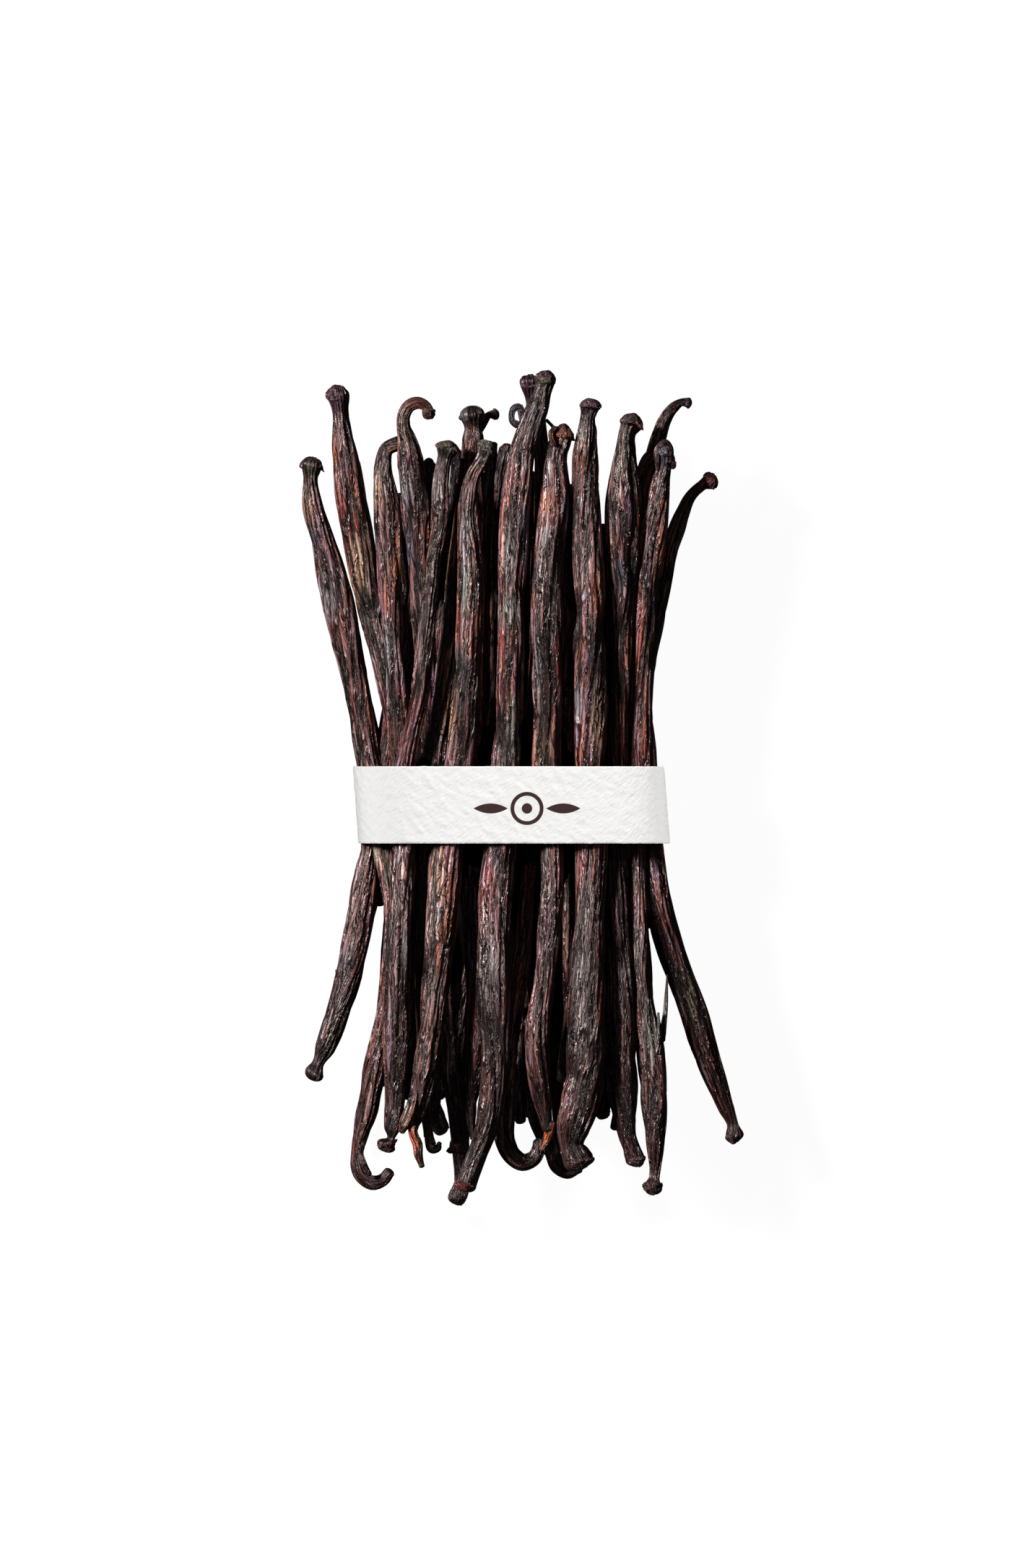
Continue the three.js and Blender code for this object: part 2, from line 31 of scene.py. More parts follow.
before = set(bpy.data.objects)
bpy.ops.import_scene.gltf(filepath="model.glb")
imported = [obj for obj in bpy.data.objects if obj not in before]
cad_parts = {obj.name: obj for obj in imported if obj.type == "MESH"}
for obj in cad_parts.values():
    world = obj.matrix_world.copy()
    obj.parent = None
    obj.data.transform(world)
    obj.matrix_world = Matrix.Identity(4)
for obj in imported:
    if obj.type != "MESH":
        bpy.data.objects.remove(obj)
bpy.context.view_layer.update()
MM = 0.001
BODY = "root"

# ---- the bundle: an oval pressed flat at the waist, spread at both ends ----

BAND_Y = -3.9
BAND_LENGTH = 17.4
BAND_WIDTH = 71.0
BAND_DEPTH = 32.9
BAND_PAPER = 0.45
BAND_X = -2.45
BAND_LEAN = 0.075
BAND_Z = 17.1
BAND_LAP = 14
BAND_SQUARENESS = 3.2
# how far the pods stay inside the paper, and how far past its edges they are pressed in
BAND_SLACK = 0.25
BAND_GRIP = 5

# the paper's mesh: the distance between its points, and how finely its outline is measured
PAPER_PITCH = 0.42
OUTLINE_POINTS = 4001
OUTLINE_STEP = 0.3
# the lap rises over the paper below it within this length, to this share of its thickness
LAP_RISE = 5
LAP_LIFT = 1.05
# the paper's tooth: its depth and slant, then each layer's length, cells, seed and share
BAND_TOOTH = 0.36
TOOTH_SLANT = 38
TOOTH_SPAN = 512
TOOTH_SHIFT = 400
TOOTH_LAYERS = [(1.9, 560, 11, 0.6), (1.1, 760, 12, 0.4)]
# the finer tooth between, in cells to the metre: along the slant, across it and upwards
FINE_ALONG = (620, 480)
FINE_ACROSS = (1500, 1170)
FINE_UP = 700

# the printed ornament: a ring round a dot, with a leaf on each side
ORNAMENT_X = 1.1
ORNAMENT_Y = -4.7
ORNAMENT_SPREAD = 8.2
RING_RADIUS = 3.3
RING_STROKE = 0.9
DOT_RADIUS = 1.2
LEAF_HALF_LENGTH = 3.9
LEAF_HALF_HEIGHT = 1.15
INK = (0.036, 0.012, 0.012)

WAIST_HALF_WIDTH = 34.2
WAIST_HALF_DEPTH = 15.4
END_HALF_WIDTH = 49
END_HALF_DEPTH = 18.4
END_REACH = 78
SETTLE_REACH = 28
OVAL_SQUARENESS = 2.7
TABLE_SQUARENESS = 5
LEAST_EDGE = 0.12
PRESSED_FLAT = 1.0
TABLE_GAP = 0.05

# the mass inside, painted near black as shade: y, half width, half depth
CORE_RINGS = [
    [-58, 18, 1.5],
    [-32, 19, 4],
    [-16, 25, 8],
    [-11, 29, 12],
    [3, 29, 12],
    [8, 25, 8],
    [24, 16, 4],
    [34, 8, 2],
]

# ---- the pods that show ----

# Each pod: its lift in the heap at head, waist and foot (-1 on the table, 1 on top), how warm
# its brown is (0 blue-black, 1 red-brown), then stations [x, y, width] from head to foot.
PODS = {
    "outer_left": ([0.1, 0.7, 0.35], 0.55, [
        [-47.7, 73.3, 4.9], [-48.0, 70.2, 3.4], [-47.5, 64.1, 4.9], [-45.7, 56.7, 5.6],
        [-42.4, 45.2, 7.1], [-37.9, 24.8, 6.2], [-34.8, 4.8, 5.4], [-32.0, -12.6, 4.9],
        [-29.2, -30.0, 3.5], [-30.4, -47.4, 4.5], [-33.5, -63.8, 5.0], [-34.8, -72.8, 5.0],
        [-36.0, -77.7, 4.1], [-37.2, -83.3, 2.9], [-37.2, -85.6, 3.2], [-36.2, -88.1, 3.4],
        [-33.8, -89.5, 3.3], [-31.6, -88.9, 2.9], [-30.2, -87.2, 2.5]]),
    "tall_left": ([0.35, 0.2, -0.1], 0.65, [
        [-42.0, 89.0, 4.9], [-41.3, 84.8, 3.6], [-40.1, 76.0, 5.9], [-38.4, 64.1, 6.8],
        [-35.7, 47.7, 6.8], [-30.4, 26.4, 5.8], [-27.0, 4.8, 4.9], [-24.8, -12.6, 4.9],
        [-22.1, -50.7, 4.6], [-19.2, -74.4, 3.3], [-17.5, -76.9, 2.1]]),
    "left_crook": ([0.5, 0.45, 0.2], 0.5, [
        [-28.0, 77.8, 3.7], [-30.4, 76.6, 3.5], [-31.3, 72.9, 4.3], [-31.2, 69.0, 5.4],
        [-30.7, 65.0, 6.3], [-29.3, 39.5, 4.8], [-28.4, 21.5, 4.6], [-27.4, 4.8, 4.4],
        [-26.6, -12.6, 4.3], [-26.9, -45.0, 4.2], [-27.4, -68.0, 3.0]]),
    "hook_top": ([0.85, 0.35, 0.1], 0.3, [
        [-21.0, 84.2, 2.8], [-21.7, 86.2, 2.3], [-23.5, 87.0, 2.6], [-25.5, 86.4, 2.7],
        [-26.8, 84.5, 2.7], [-27.0, 81.8, 2.9], [-26.2, 78.7, 4.0], [-25.1, 72.3, 6.4],
        [-23.8, 64.1, 6.7], [-22.8, 47.7, 5.8], [-20.7, 14.9, 4.9], [-19.3, -12.6, 4.9],
        [-18.2, -34.3, 4.9], [-16.9, -58.9, 4.3], [-15.8, -68.0, 3.8], [-14.6, -76.9, 3.2],
        [-14.1, -84.0, 2.7], [-14.1, -89.4, 2.2], [-14.5, -93.0, 4.3]]),
    "slim_front": ([0.95, 1.0, 0.9], 0.5, [
        [-16.8, 76.4, 4.4], [-17.4, 74.4, 2.9], [-18.3, 69.0, 3.6], [-18.5, 61.1, 4.4],
        [-19.8, 52.6, 3.8], [-22.8, 24.8, 3.9], [-26.1, 4.8, 4.3], [-26.7, -12.6, 5.2],
        [-27.9, -34.3, 5.6], [-28.2, -53.9, 5.9], [-28.7, -70.5, 4.5], [-29.3, -76.8, 4.0],
        [-29.6, -79.4, 1.8], [-30.5, -80.9, 4.4]]),
    "back_head": ([0.5, 0.4, 0.35], 0.45, [
        [-11.3, 84.4, 5.9], [-11.1, 81.6, 4.3], [-11.0, 78.9, 5.2], [-11.0, 54.3, 5.2],
        [-11.0, 24.8, 4.9], [-10.7, -12.6, 4.9], [-10.3, -37.5, 5.6], [-10.3, -55.6, 6.2],
        [-11.0, -67.0, 3.9], [-11.5, -74.9, 0.8]]),
    "peg": ([0.25, 0.0, 0.1], 0.5, [
        [-6.0, 84.7, 2.5], [-7.5, 84.5, 1.7], [-9.0, 82.9, 2.0], [-9.7, 73.9, 2.3],
        [-9.0, 54.3, 3.0], [-8.7, 4.8, 3.9], [-10.7, -17.9, 3.9], [-12.0, -38.5, 4.6],
        [-14.6, -53.9, 4.6], [-15.2, -68.7, 3.6], [-14.1, -78.0, 3.0], [-14.3, -81.5, 4.6]]),
    "second_mid": ([0.55, 0.5, 0.3], 0.45, [
        [-13.4, 73.6, 2.9], [-13.8, 64.1, 3.3], [-16.0, 39.5, 4.4], [-17.0, 27.0, 5.0],
        [-19.3, 4.8, 4.6], [-20.8, -12.6, 4.6], [-21.8, -34.3, 4.3], [-21.6, -58.9, 4.2],
        [-21.4, -74.4, 2.6], [-21.3, -79.0, 1.6]]),
    "broad_front": ([0.95, 1.0, 0.95], 0.55, [
        [-8.0, 76.4, 4.0], [-8.8, 74.4, 3.3], [-11.0, 70.3, 3.4], [-11.8, 64.1, 4.1],
        [-11.3, 42.8, 6.1], [-12.3, 26.4, 6.3], [-14.1, 4.8, 6.9], [-16.6, -12.6, 7.2],
        [-18.2, -32.6, 7.0], [-20.3, -50.7, 5.9], [-22.8, -67.0, 5.2], [-23.9, -73.4, 4.4],
        [-24.4, -77.5, 1.8]]),
    "thin_back": ([0.35, 0.3, 0.1], 0.3, [
        [-3.7, 76.6, 2.4], [-4.3, 73.9, 2.3], [-5.2, 65.7, 2.3], [-6.4, 31.3, 3.3],
        [-7.4, -12.6, 3.6], [-8.4, -42.5, 3.6], [-9.0, -63.8, 2.6]]),
    "curl_top": ([0.35, 0.1, 0.1], 0.4, [
        [-1.3, 82.0, 1.8], [-2.3, 82.7, 1.6], [-2.6, 84.6, 1.5], [-1.8, 86.2, 1.7],
        [-0.6, 86.4, 1.7], [0.1, 84.3, 1.8], [0.2, 78.9, 2.0], [-0.5, 60.8, 3.0],
        [-0.2, 31.3, 3.6], [0.5, -12.6, 3.6], [1.6, -62.1, 3.3], [3.1, -75.2, 3.4],
        [6.7, -83.1, 3.5], [8.0, -85.9, 3.5], [10.4, -87.1, 3.4], [12.8, -86.3, 2.8]]),
    "red_back": ([0.5, 0.45, 0.55], 0.75, [
        [1.6, 92.0, 4.0], [2.0, 88.0, 2.2], [3.6, 82.1, 4.2], [4.6, 73.9, 3.8], [4.4, 60.8, 3.9],
        [3.4, 34.6, 3.9], [2.1, -12.6, 3.6], [-0.2, -37.5, 3.6], [-3.4, -60.5, 4.4],
        [-4.1, -72.8, 4.9], [-3.8, -79.9, 4.9], [-2.3, -83.4, 4.5], [0.3, -85.1, 4.0],
        [3.0, -83.9, 3.4], [4.0, -81.6, 3.0], [3.9, -80.2, 2.5]]),
    "tall_mid": ([1.0, 1.0, 1.0], 0.3, [
        [5.4, 92.4, 4.5], [4.6, 89.8, 4.0], [3.3, 85.4, 5.2], [1.7, 80.5, 5.7], [0.2, 75.2, 6.0],
        [-1.1, 65.7, 6.4], [-2.6, 31.3, 5.6], [-3.3, 10.0, 6.4], [-5.1, -12.6, 7.0],
        [-6.9, -49.0, 7.9], [-6.3, -62.1, 6.8], [-7.6, -73.6, 6.0], [-11.2, -85.1, 4.7],
        [-12.7, -89.7, 4.7]]),
    "right_mid": ([0.9, 1.0, 0.95], 0.65, [
        [9.0, 79.4, 5.0], [8.0, 76.4, 4.6], [7.8, 65.7, 6.4], [6.5, 54.3, 6.8], [5.6, 37.9, 7.5],
        [5.9, 21.5, 6.6], [5.7, 4.8, 6.9], [6.6, -12.6, 5.6], [6.1, -29.3, 5.1], [5.2, -44.1, 4.6],
        [3.6, -57.2, 5.4], [4.1, -68.7, 4.4], [5.8, -77.2, 2.3]]),
    "gap_right": ([0.35, 0.35, 0.3], 0.4, [
        [10.6, 66.0, 3.2], [10.3, 38.0, 3.6], [10.8, -12.6, 3.8], [11.2, -40.0, 3.8],
        [9.4, -66.0, 2.6]]),
    "big_right": ([1.0, 1.0, 1.0], 0.55, [
        [15.5, 86.2, 4.7], [14.9, 83.8, 3.5], [14.7, 79.5, 4.9], [14.2, 73.5, 5.9],
        [14.6, 59.2, 6.4], [15.2, 36.2, 7.0], [15.7, 14.9, 7.5], [15.7, -3.9, 7.2],
        [15.4, -26.1, 6.4], [14.9, -45.7, 7.9], [14.3, -61.3, 9.5], [13.0, -72.8, 8.6],
        [11.8, -77.0, 7.8], [11.4, -81.0, 5.6], [12.8, -84.0, 6.8]]),
    "hump_right": ([0.85, 0.7, 0.75], 0.3, [
        [24.9, 82.6, 5.2], [23.8, 80.4, 3.9], [23.1, 75.5, 5.1], [23.1, 69.0, 7.4],
        [22.9, 63.3, 8.4], [22.6, 47.7, 6.8], [22.1, 28.0, 4.8], [21.6, -8.0, 4.3],
        [21.6, -29.3, 4.9], [22.5, -49.0, 6.4], [22.7, -66.0, 6.6], [23.5, -75.6, 5.2],
        [24.0, -79.0, 4.5], [25.0, -82.0, 4.4], [25.6, -84.0, 4.6]]),
    "split_right": ([0.8, 0.6, 0.8], 0.5, [
        [32.1, 76.4, 4.0], [32.1, 73.0, 3.3], [31.0, 68.0, 4.4], [30.3, 63.8, 5.3],
        [29.7, 58.4, 5.9], [28.3, 44.4, 5.2], [26.8, 26.4, 4.5], [25.9, -4.0, 4.1],
        [26.7, -31.0, 3.4], [27.5, -48.2, 4.7], [29.2, -58.9, 6.2], [29.9, -70.0, 5.9],
        [30.2, -80.6, 4.3], [30.0, -88.2, 2.5], [29.6, -90.4, 4.4]]),
    "outer_right": ([0.4, 0.9, 0.6], 0.65, [
        [42.9, 69.6, 3.9], [40.8, 68.6, 2.5], [38.4, 66.3, 2.6], [36.3, 62.1, 3.1],
        [34.7, 57.5, 3.6], [31.5, 42.8, 2.9], [28.1, 28.0, 3.2], [27.3, 4.8, 5.7],
        [28.5, -12.6, 6.2], [30.7, -24.4, 6.2], [35.2, -40.8, 6.2], [38.9, -51.5, 6.3],
        [42.7, -63.8, 5.2], [46.3, -72.8, 3.6], [47.8, -76.4, 2.5], [48.3, -79.0, 3.9]]),
    "far_curve": ([0.3, 0.2, 0.3], 0.45, [
        [37.7, 87.2, 2.4], [36.3, 87.3, 1.9], [34.5, 86.1, 2.4], [32.3, 83.1, 2.9],
        [30.9, 79.7, 3.2], [29.4, 74.8, 3.4], [28.2, 65.7, 3.3], [25.1, 23.1, 3.6],
        [24.4, -12.6, 3.3], [24.8, -50.7, 3.0], [23.4, -65.4, 2.6], [20.8, -76.9, 2.3]]),
    "striped_back": ([0.35, 0.1, 0.2], 0.55, [
        [33.9, 73.4, 1.7], [33.6, 74.8, 2.0], [32.2, 75.6, 3.1], [29.7, 74.6, 4.3],
        [27.5, 69.8, 4.6], [26.2, 60.8, 4.9], [23.8, 14.9, 4.3], [21.8, -3.9, 3.9],
        [19.5, -26.1, 4.3], [18.5, -50.7, 3.9], [18.2, -72.8, 3.6]]),
    "lower_left": ([0.4, 0.1, 0.0], 0.5, [
        [-21.1, 73.2, 2.6], [-21.3, 69.0, 3.0], [-22.6, 54.3, 3.3], [-26.7, 31.3, 3.3],
        [-30.8, 8.4, 3.3], [-34.2, -12.6, 4.0], [-35.8, -24.4, 5.8], [-38.9, -40.8, 6.2],
        [-41.7, -50.7, 5.6], [-44.4, -58.9, 4.6], [-46.1, -62.6, 2.6], [-47.2, -65.1, 4.3]]),
}

# The knobs on the pods' ends: the pod, its x and y, which way its top faces (degrees clockwise
# from the stem end's direction), its width and height, and how far its two sides droop (the one
# on the left when its top is up, then the right).
KNOBS = [
    ["outer_left", -47.7, 73.6, -4, 5.3, 3.5, 0.5, 1.7],
    ["tall_left", -42.0, 89.0, -4, 5.0, 4.7, 0.1, 0.2],
    ["hook_top", -21.0, 84.6, 165, 2.9, 2.8, 0.2, 0.2],
    ["slim_front", -16.6, 77.1, 8, 5.8, 2.6, 0.3, 1.4],
    ["back_head", -11.3, 84.3, -3, 5.9, 4.2, 0.5, 0.7],
    ["peg", -6.1, 84.7, 88, 2.5, 1.7, 0.2, 0.2],
    ["broad_front", -7.8, 77.0, 28, 4.6, 3.0, 0.4, 1.3],
    ["thin_back", -3.5, 76.9, 20, 2.5, 2.4, 0.2, 0.3],
    ["red_back", 1.6, 91.5, 0, 4.2, 4.0, 0.1, 0.1],
    ["tall_mid", 5.4, 92.3, 14, 4.7, 3.8, 0.1, 0.7],
    ["right_mid", 9.2, 80.0, 3, 5.0, 4.2, 0.4, 0.9],
    ["big_right", 15.6, 86.4, 3, 4.7, 2.8, 0.2, 0.6],
    ["hump_right", 24.9, 82.9, 8, 5.6, 3.3, 0.6, 1.7],
    ["split_right", 32.3, 75.8, 3, 3.8, 3.2, 0.2, 0.3],
    ["outer_right", 42.7, 69.8, 48, 4.1, 3.0, 0.2, 0.8],
    ["far_curve", 37.6, 87.2, 80, 2.4, 1.9, 0.2, 0.2],
    ["striped_back", 34.0, 73.2, 170, 2.0, 2.2, 0.2, 0.2],
    ["lower_left", -21.1, 73.4, -5, 2.8, 2.6, 0.2, 0.3],
    ["lower_left", -47.2, -65.1, 205, 4.4, 2.1, 0.2, 0.3],
    ["slim_front", -30.5, -80.8, 168, 4.6, 2.4, 0.6, 0.2],
    ["peg", -15.0, -81.3, 140, 5.0, 2.8, 0.4, 0.2],
    ["hook_top", -14.5, -92.8, 178, 4.4, 4.1, 0.3, 0.4],
    ["tall_mid", -13.0, -90.1, 190, 4.9, 2.5, 0.3, 0.4],
    ["big_right", 12.9, -84.6, 172, 6.9, 3.1, 0.5, 0.9],
    ["hump_right", 26.0, -84.4, 164, 4.0, 2.9, 0.3, 0.4],
    ["split_right", 29.5, -90.3, 178, 4.6, 3.7, 0.4, 0.4],
    ["outer_right", 48.1, -79.2, 160, 4.1, 3.1, 0.2, 0.4],
    ["striped_back", 18.2, -73.9, 180, 3.6, 2.9, 0.3, 0.3],
]
KNOB_DEPTH = 0.85
KNOB_UNDERSIDE = 0.62
KNOB_DOMING = 0.12
KNOB_ENDING = 0.9
# a knob's creases: how often they come in each direction, and what is added to its seed
KNOB_CREASES = [((1.9, 1.1, 1.9), 0), ((3.2, 2.0, 3.2), 9)]
KNOB_CREASE_DEPTH = 0.14
KNOB_CREASE_MEAN = 0.75
CREASE_STEEPNESS = 5
CREASE_ROUNDING = 0.7
KNOB_LUMPS = 1.3
KNOB_LUMP_DEPTH = 0.2
KNOB_GRIT = 7
KNOB_GRIT_DEPTH = 0.03

# Torn strips, thin curled tips, and strips in the gaps painted near black as shade, each as a pod is
# given.
SCRAPS = {
    "hood_rim": ([0.75, 0, 0], 0.5, [
        [30.8, 72.0, 1.0], [30.5, 74.8, 1.4], [31.1, 77.0, 1.5], [32.4, 77.9, 1.6],
        [33.2, 77.0, 1.5], [33.5, 75.2, 1.4], [33.4, 73.6, 1.0]]),
    "hood_tip": ([0.9, 0, 0], 0.8, [
        [7.2, 81.4, 1.0], [6.4, 80.2, 1.2], [6.5, 78.7, 1.2], [7.2, 77.4, 1.1]]),
    "tendril": ([0.7, 0, 0], 0.5, [[5.6, 83.1, 0.8], [6.3, 82.4, 0.8], [7.4, 81.2, 0.9]]),
    # dark_behind, slot_behind, slab_behind and dark_foot fill gaps and are painted near black all over:
    # painted shade
    "dark_behind": ([0.2, 0, 0], 0.2, [
        [-6.2, 77.8, 1.8], [-6.7, 73.5, 2.6], [-7.7, 67.0, 3.2], [-8.0, 56.0, 3.2]]),
    "slot_behind": ([0, 0, 0.2], 0.2, [
        [0.0, -50.0, 3.0], [-0.8, -62.0, 3.4], [-0.8, -71.0, 3.4], [-0.3, -75.4, 2.6]]),
    "slab_behind": ([0, 0, 0.3], 0.3, [
        [-12.8, -62.0, 3.0], [-11.8, -72.0, 3.0], [-11.1, -79.4, 1.3]]),
    "dark_foot": ([0, 0, 0.2], 0.2, [
        [-20.2, -62.0, 3.4], [-20.0, -71.0, 2.8], [-19.9, -75.3, 2.0]]),
    "second_hook": ([0, 0, 0.4], 0.4, [
        [-20.1, -74.0, 1.6], [-19.4, -76.4, 2.3], [-18.7, -77.6, 2.3], [-17.6, -77.6, 1.4],
        [-16.8, -76.8, 0.9]]),
    "boot": ([0, 0, 0.3], 0.5, [
        [-21.3, -76.5, 1.6], [-21.0, -80.0, 2.3], [-20.3, -81.7, 2.6], [-19.1, -81.6, 1.9],
        [-18.7, -80.6, 1.1]]),
    "red_flap": ([0, 0, 0.95], 1.0, [
        [-23.6, -67.5, 2.2], [-25.1, -73.0, 3.0], [-26.3, -76.2, 2.7], [-26.9, -77.6, 1.7]]),
    "orange_strip": ([0, 0, 0.9], 1.0, [
        [-25.0, -75.0, 2.2], [-24.5, -78.4, 2.3], [-23.5, -80.6, 2.5], [-23.2, -83.0, 2.0],
        [-22.5, -85.3, 1.5]]),
    "orange_end": ([0, 0, 0.8], 1.0, [[6.0, -76.0, 2.8], [5.4, -79.2, 2.1], [4.3, -81.6, 1.0]]),
    "splinter": ([0, 0, 0.7], 0.3, [
        [32.8, -42.4, 0.4], [32.6, -47.0, 0.8], [32.3, -51.5, 1.1], [31.5, -57.0, 1.8]]),
    "split_lip": ([0, 0, 0.8], 0.3, [[30.9, -51.0, 0.6], [31.1, -55.0, 1.1], [30.8, -60.0, 1.6]]),
    "hook_flap": ([0, 0, 0.5], 0.4, [[-36.4, -83.0, 0.8], [-35.9, -85.4, 1.5], [-34.6, -87.6, 1.2]]),
    "peg_strand": ([0.2, 0, 0], 0.5, [[-7.6, 83.6, 0.7], [-8.4, 82.4, 0.9], [-9.2, 80.9, 0.8]]),
}

# the pieces that the shown pods are joined into
SHOWN_PIECES = {
    "pods_left": ["outer_left", "tall_left", "left_crook", "hook_top", "slim_front", "lower_left"],
    "pods_middle": ["back_head", "peg", "second_mid", "broad_front", "thin_back"],
    "pods_front": ["curl_top", "red_back", "tall_mid", "right_mid", "gap_right"],
    "pods_right": ["big_right", "hump_right", "split_right", "outer_right", "far_curve",
                   "striped_back"],
}

# ---- the pods underneath, row by row ----

# Just under the ones that show, a row that fills the gaps between them. Each pod runs down the
# middle of one gap to the waist and down the middle of another to its foot, from left to right:
# (the pod on the gap's left, the pod on its right, where the end is).
GAP_ROW = [
    [("tall_left", "left_crook", 46), ("lower_left", "outer_left", -26)],
    [("left_crook", "hook_top", 66), ("outer_left", "slim_front", -67)],
    [("hook_top", "slim_front", 73), ("slim_front", "broad_front", -70)],
    [("slim_front", "second_mid", 76), ("second_mid", "hook_top", -70)],
    [("peg", "thin_back", 67), ("hook_top", "tall_mid", -84)],
    [("curl_top", "red_back", 71), ("red_back", "right_mid", -74)],
    [("right_mid", "big_right", 68), ("right_mid", "big_right", -82)],
    [("big_right", "hump_right", 59), ("big_right", "hump_right", -71)],
    [("hump_right", "striped_back", 72), ("hump_right", "split_right", -55)],
    [("split_right", "outer_right", 55), ("split_right", "outer_right", -31)],
]
GAP_LIFT = -0.1
GAP_HALF_WIDTH = 29.5
GAP_WIDTH = 4.8
GAP_WARMTH = 0.15
GAP_Y = [54, 38, 22, 6, -14, -28, -42, -56]

UNDER_HEADS = ["outer_left", "tall_left", "left_crook", "hook_top", "slim_front", "back_head",
               "tall_mid", "right_mid", "big_right", "hump_right", "split_right", "outer_right"]
UNDER_FEET = ["lower_left", "outer_left", "slim_front", "broad_front", "hook_top", "back_head",
              "tall_mid", "right_mid", "big_right", "hump_right", "split_right", "outer_right"]
# the row's piece: its lift, half width at the waist, and the host it skips
UNDER_ROWS = {
    "pods_beneath": (-0.6, 30.5, 11),
    "pods_on_the_table": (-1, 26, 0),
}
# how dark each row's colour is painted: painted shade, where little light reaches it
PAINTED_ROW_SHADE = {"pods_in_the_gaps": 0.75, "pods_beneath": 0.35, "pods_on_the_table": 0.25}
UNDER_WARMTH = 0.3
WARMTH_SPREAD = 0.4
UNDER_WIDTH = 5.6
UNDER_WIDER = 0.3
UNDER_TIP = 0.6
UNDER_NECK = 0.45
UNDER_NECK_REACH = 4
UNDER_Y = [38, 22, 6, -14, -28, -42]
UNDER_HOST_REACH = 32
LEAST_STEP = 9
UNDER_CUT = 6
UNDER_CUT_RANGE = 18
HEAD_SHARE = 0.618
FOOT_SHARE = 0.755

# ---- how fine the meshes are ----

SHOWN_SIDES = 72
SHOWN_RINGS = 144
UNDER_SIDES = 40
UNDER_RINGS = 80
CORE_SIDES = 48
KNOB_FINENESS = 5
# rings stand closer together near the ends, by this share
RING_CROWDING = 0.72

# each pod and each knob has its own seed
FIRST_POD_SEED = 120
POD_SEED_STEP = 20
FIRST_KNOB_SEED = 3
KNOB_SEED_STEP = 1.7

# ---- the skin ----

END_ROUNDING = 0.36
LEAST_ROUNDING = 0.3
END_SQUARENESS = 2.05
TIP_SCAR = 0.1
SECTION_DEPTH = 0.9
CURVE_STEP = 0.4
POD_LENGTH = 175
TWIST = 0.5

# Kinds of unevenness: how long a cell of it is along a pod, how many go round, and what is
# added to the pod's seed.
SPLITTING = (16, 5, 6)
FOLDS = (34, 5, 7)
LUMPS = (11, 4, 8)
LOBES = (2.2, 6, 9)
SWAYS = (15, 3, 10)
WARM_PATCHES = (21, 3, 11)
# what bends the ridges sideways: the kind, and how far in turns
BENDS = [((26, 3, 1), 0.10), ((8, 5, 2), 0.05), ((3.2, 8, 5), 0.016)]

RIDGE_PITCH = 1.55
RIDGE_LENGTH = 30
RIDGE_SHOULDER = 0.75
RIDGE_DEPTH = 0.55
RIDGE_MEAN = 0.65
FULL_RIDGE_WIDTH = 4
LEAST_RIDGES = 6
RIDGE_SEED = 3
# The finer ridges that some of them split into: their length and number as shares of theirs,
# how deep they are, and how sharply the split patches start and from what height of the noise.
SPLIT_LENGTH = 0.4
SPLIT_COUNT = 1.7
SPLIT_DEPTH = 0.75
SPLIT_CONTRAST = 2.4
SPLIT_START = 0.9
SPLIT_SEED = 4

FOLD_DEPTH = 0.2
FOLD_MEAN = 0.8
FOLD_STEEPNESS = 3.2
FOLD_ROUNDING = 0.8
# FOLD_SHADE darkens the colour painted in a deep fold: painted shade
FOLD_SHADE = 0.35
LUMP_DEPTH = 0.12
LOBE_DEPTH = 0.22
SWAY_REACH = 0.5
# near its two ends a pod has lobes, and this share of its other relief
LOBES_FROM = 1.5
LOBES_REACH = 5
END_CALM = 0.6

WARMTH_RANGE = 0.9
# stains: how full they are in the middle, how fast they fade, and how ragged their edges are
STAIN_STRENGTH = 1.25
STAIN_FADE = 0.75
STAIN_RAGGEDNESS = 0.55
RAGGED_LENGTH = 5
RAGGED_SEED = 12
# pods' skin maps are moved apart along by up to this
SKIN_SHIFT = 400
# how dark the ends are: from where, how far, and the same for the whole lower half, which is painted
# shade
ENDING_FROM = 1
ENDING_REACH = 26
LOWER_HALF_SHADE = 0.5
LOWER_REACH = 50

RUST = (0.21, 0.058, 0.022)
RED = (0.14, 0.022, 0.018)
ORANGE = (0.50, 0.085, 0.010)
MAGENTA = (0.095, 0.020, 0.045)
TAN = (0.22, 0.13, 0.075)
ROSE = (0.145, 0.088, 0.084)
GREY = (0.13, 0.122, 0.126)
BLUE_GREY = (0.070, 0.074, 0.105)
OLIVE = (0.070, 0.070, 0.040)
SAGE = (0.115, 0.135, 0.108)
PLUM = (0.055, 0.024, 0.045)
# near black: a dark tone in some patches, and painted shade on the strips in the gaps
BLACK_TONE_AND_SHADE = (0.012, 0.010, 0.012)
# white: painted glints
PAINTED_GLINT = (0.50, 0.49, 0.52)

# the skin's colours: the flanks of blue-black and red-brown pods, the dark ends, painted shade deep in
# a crease, painted shade for what lies out of the light, and the pale bloom with painted glints
COLD_FLANK = (0.013, 0.005, 0.005)
WARM_FLANK = (0.085, 0.014, 0.006)
DARK_END = (0.010, 0.004, 0.004)
PAINTED_CREASE_SHADE = (0.001, 0.0005, 0.0005)
UNLIT = (0.0015, 0.0008, 0.0008)
BLOOM_AND_GLINT = (0.42, 0.37, 0.38)
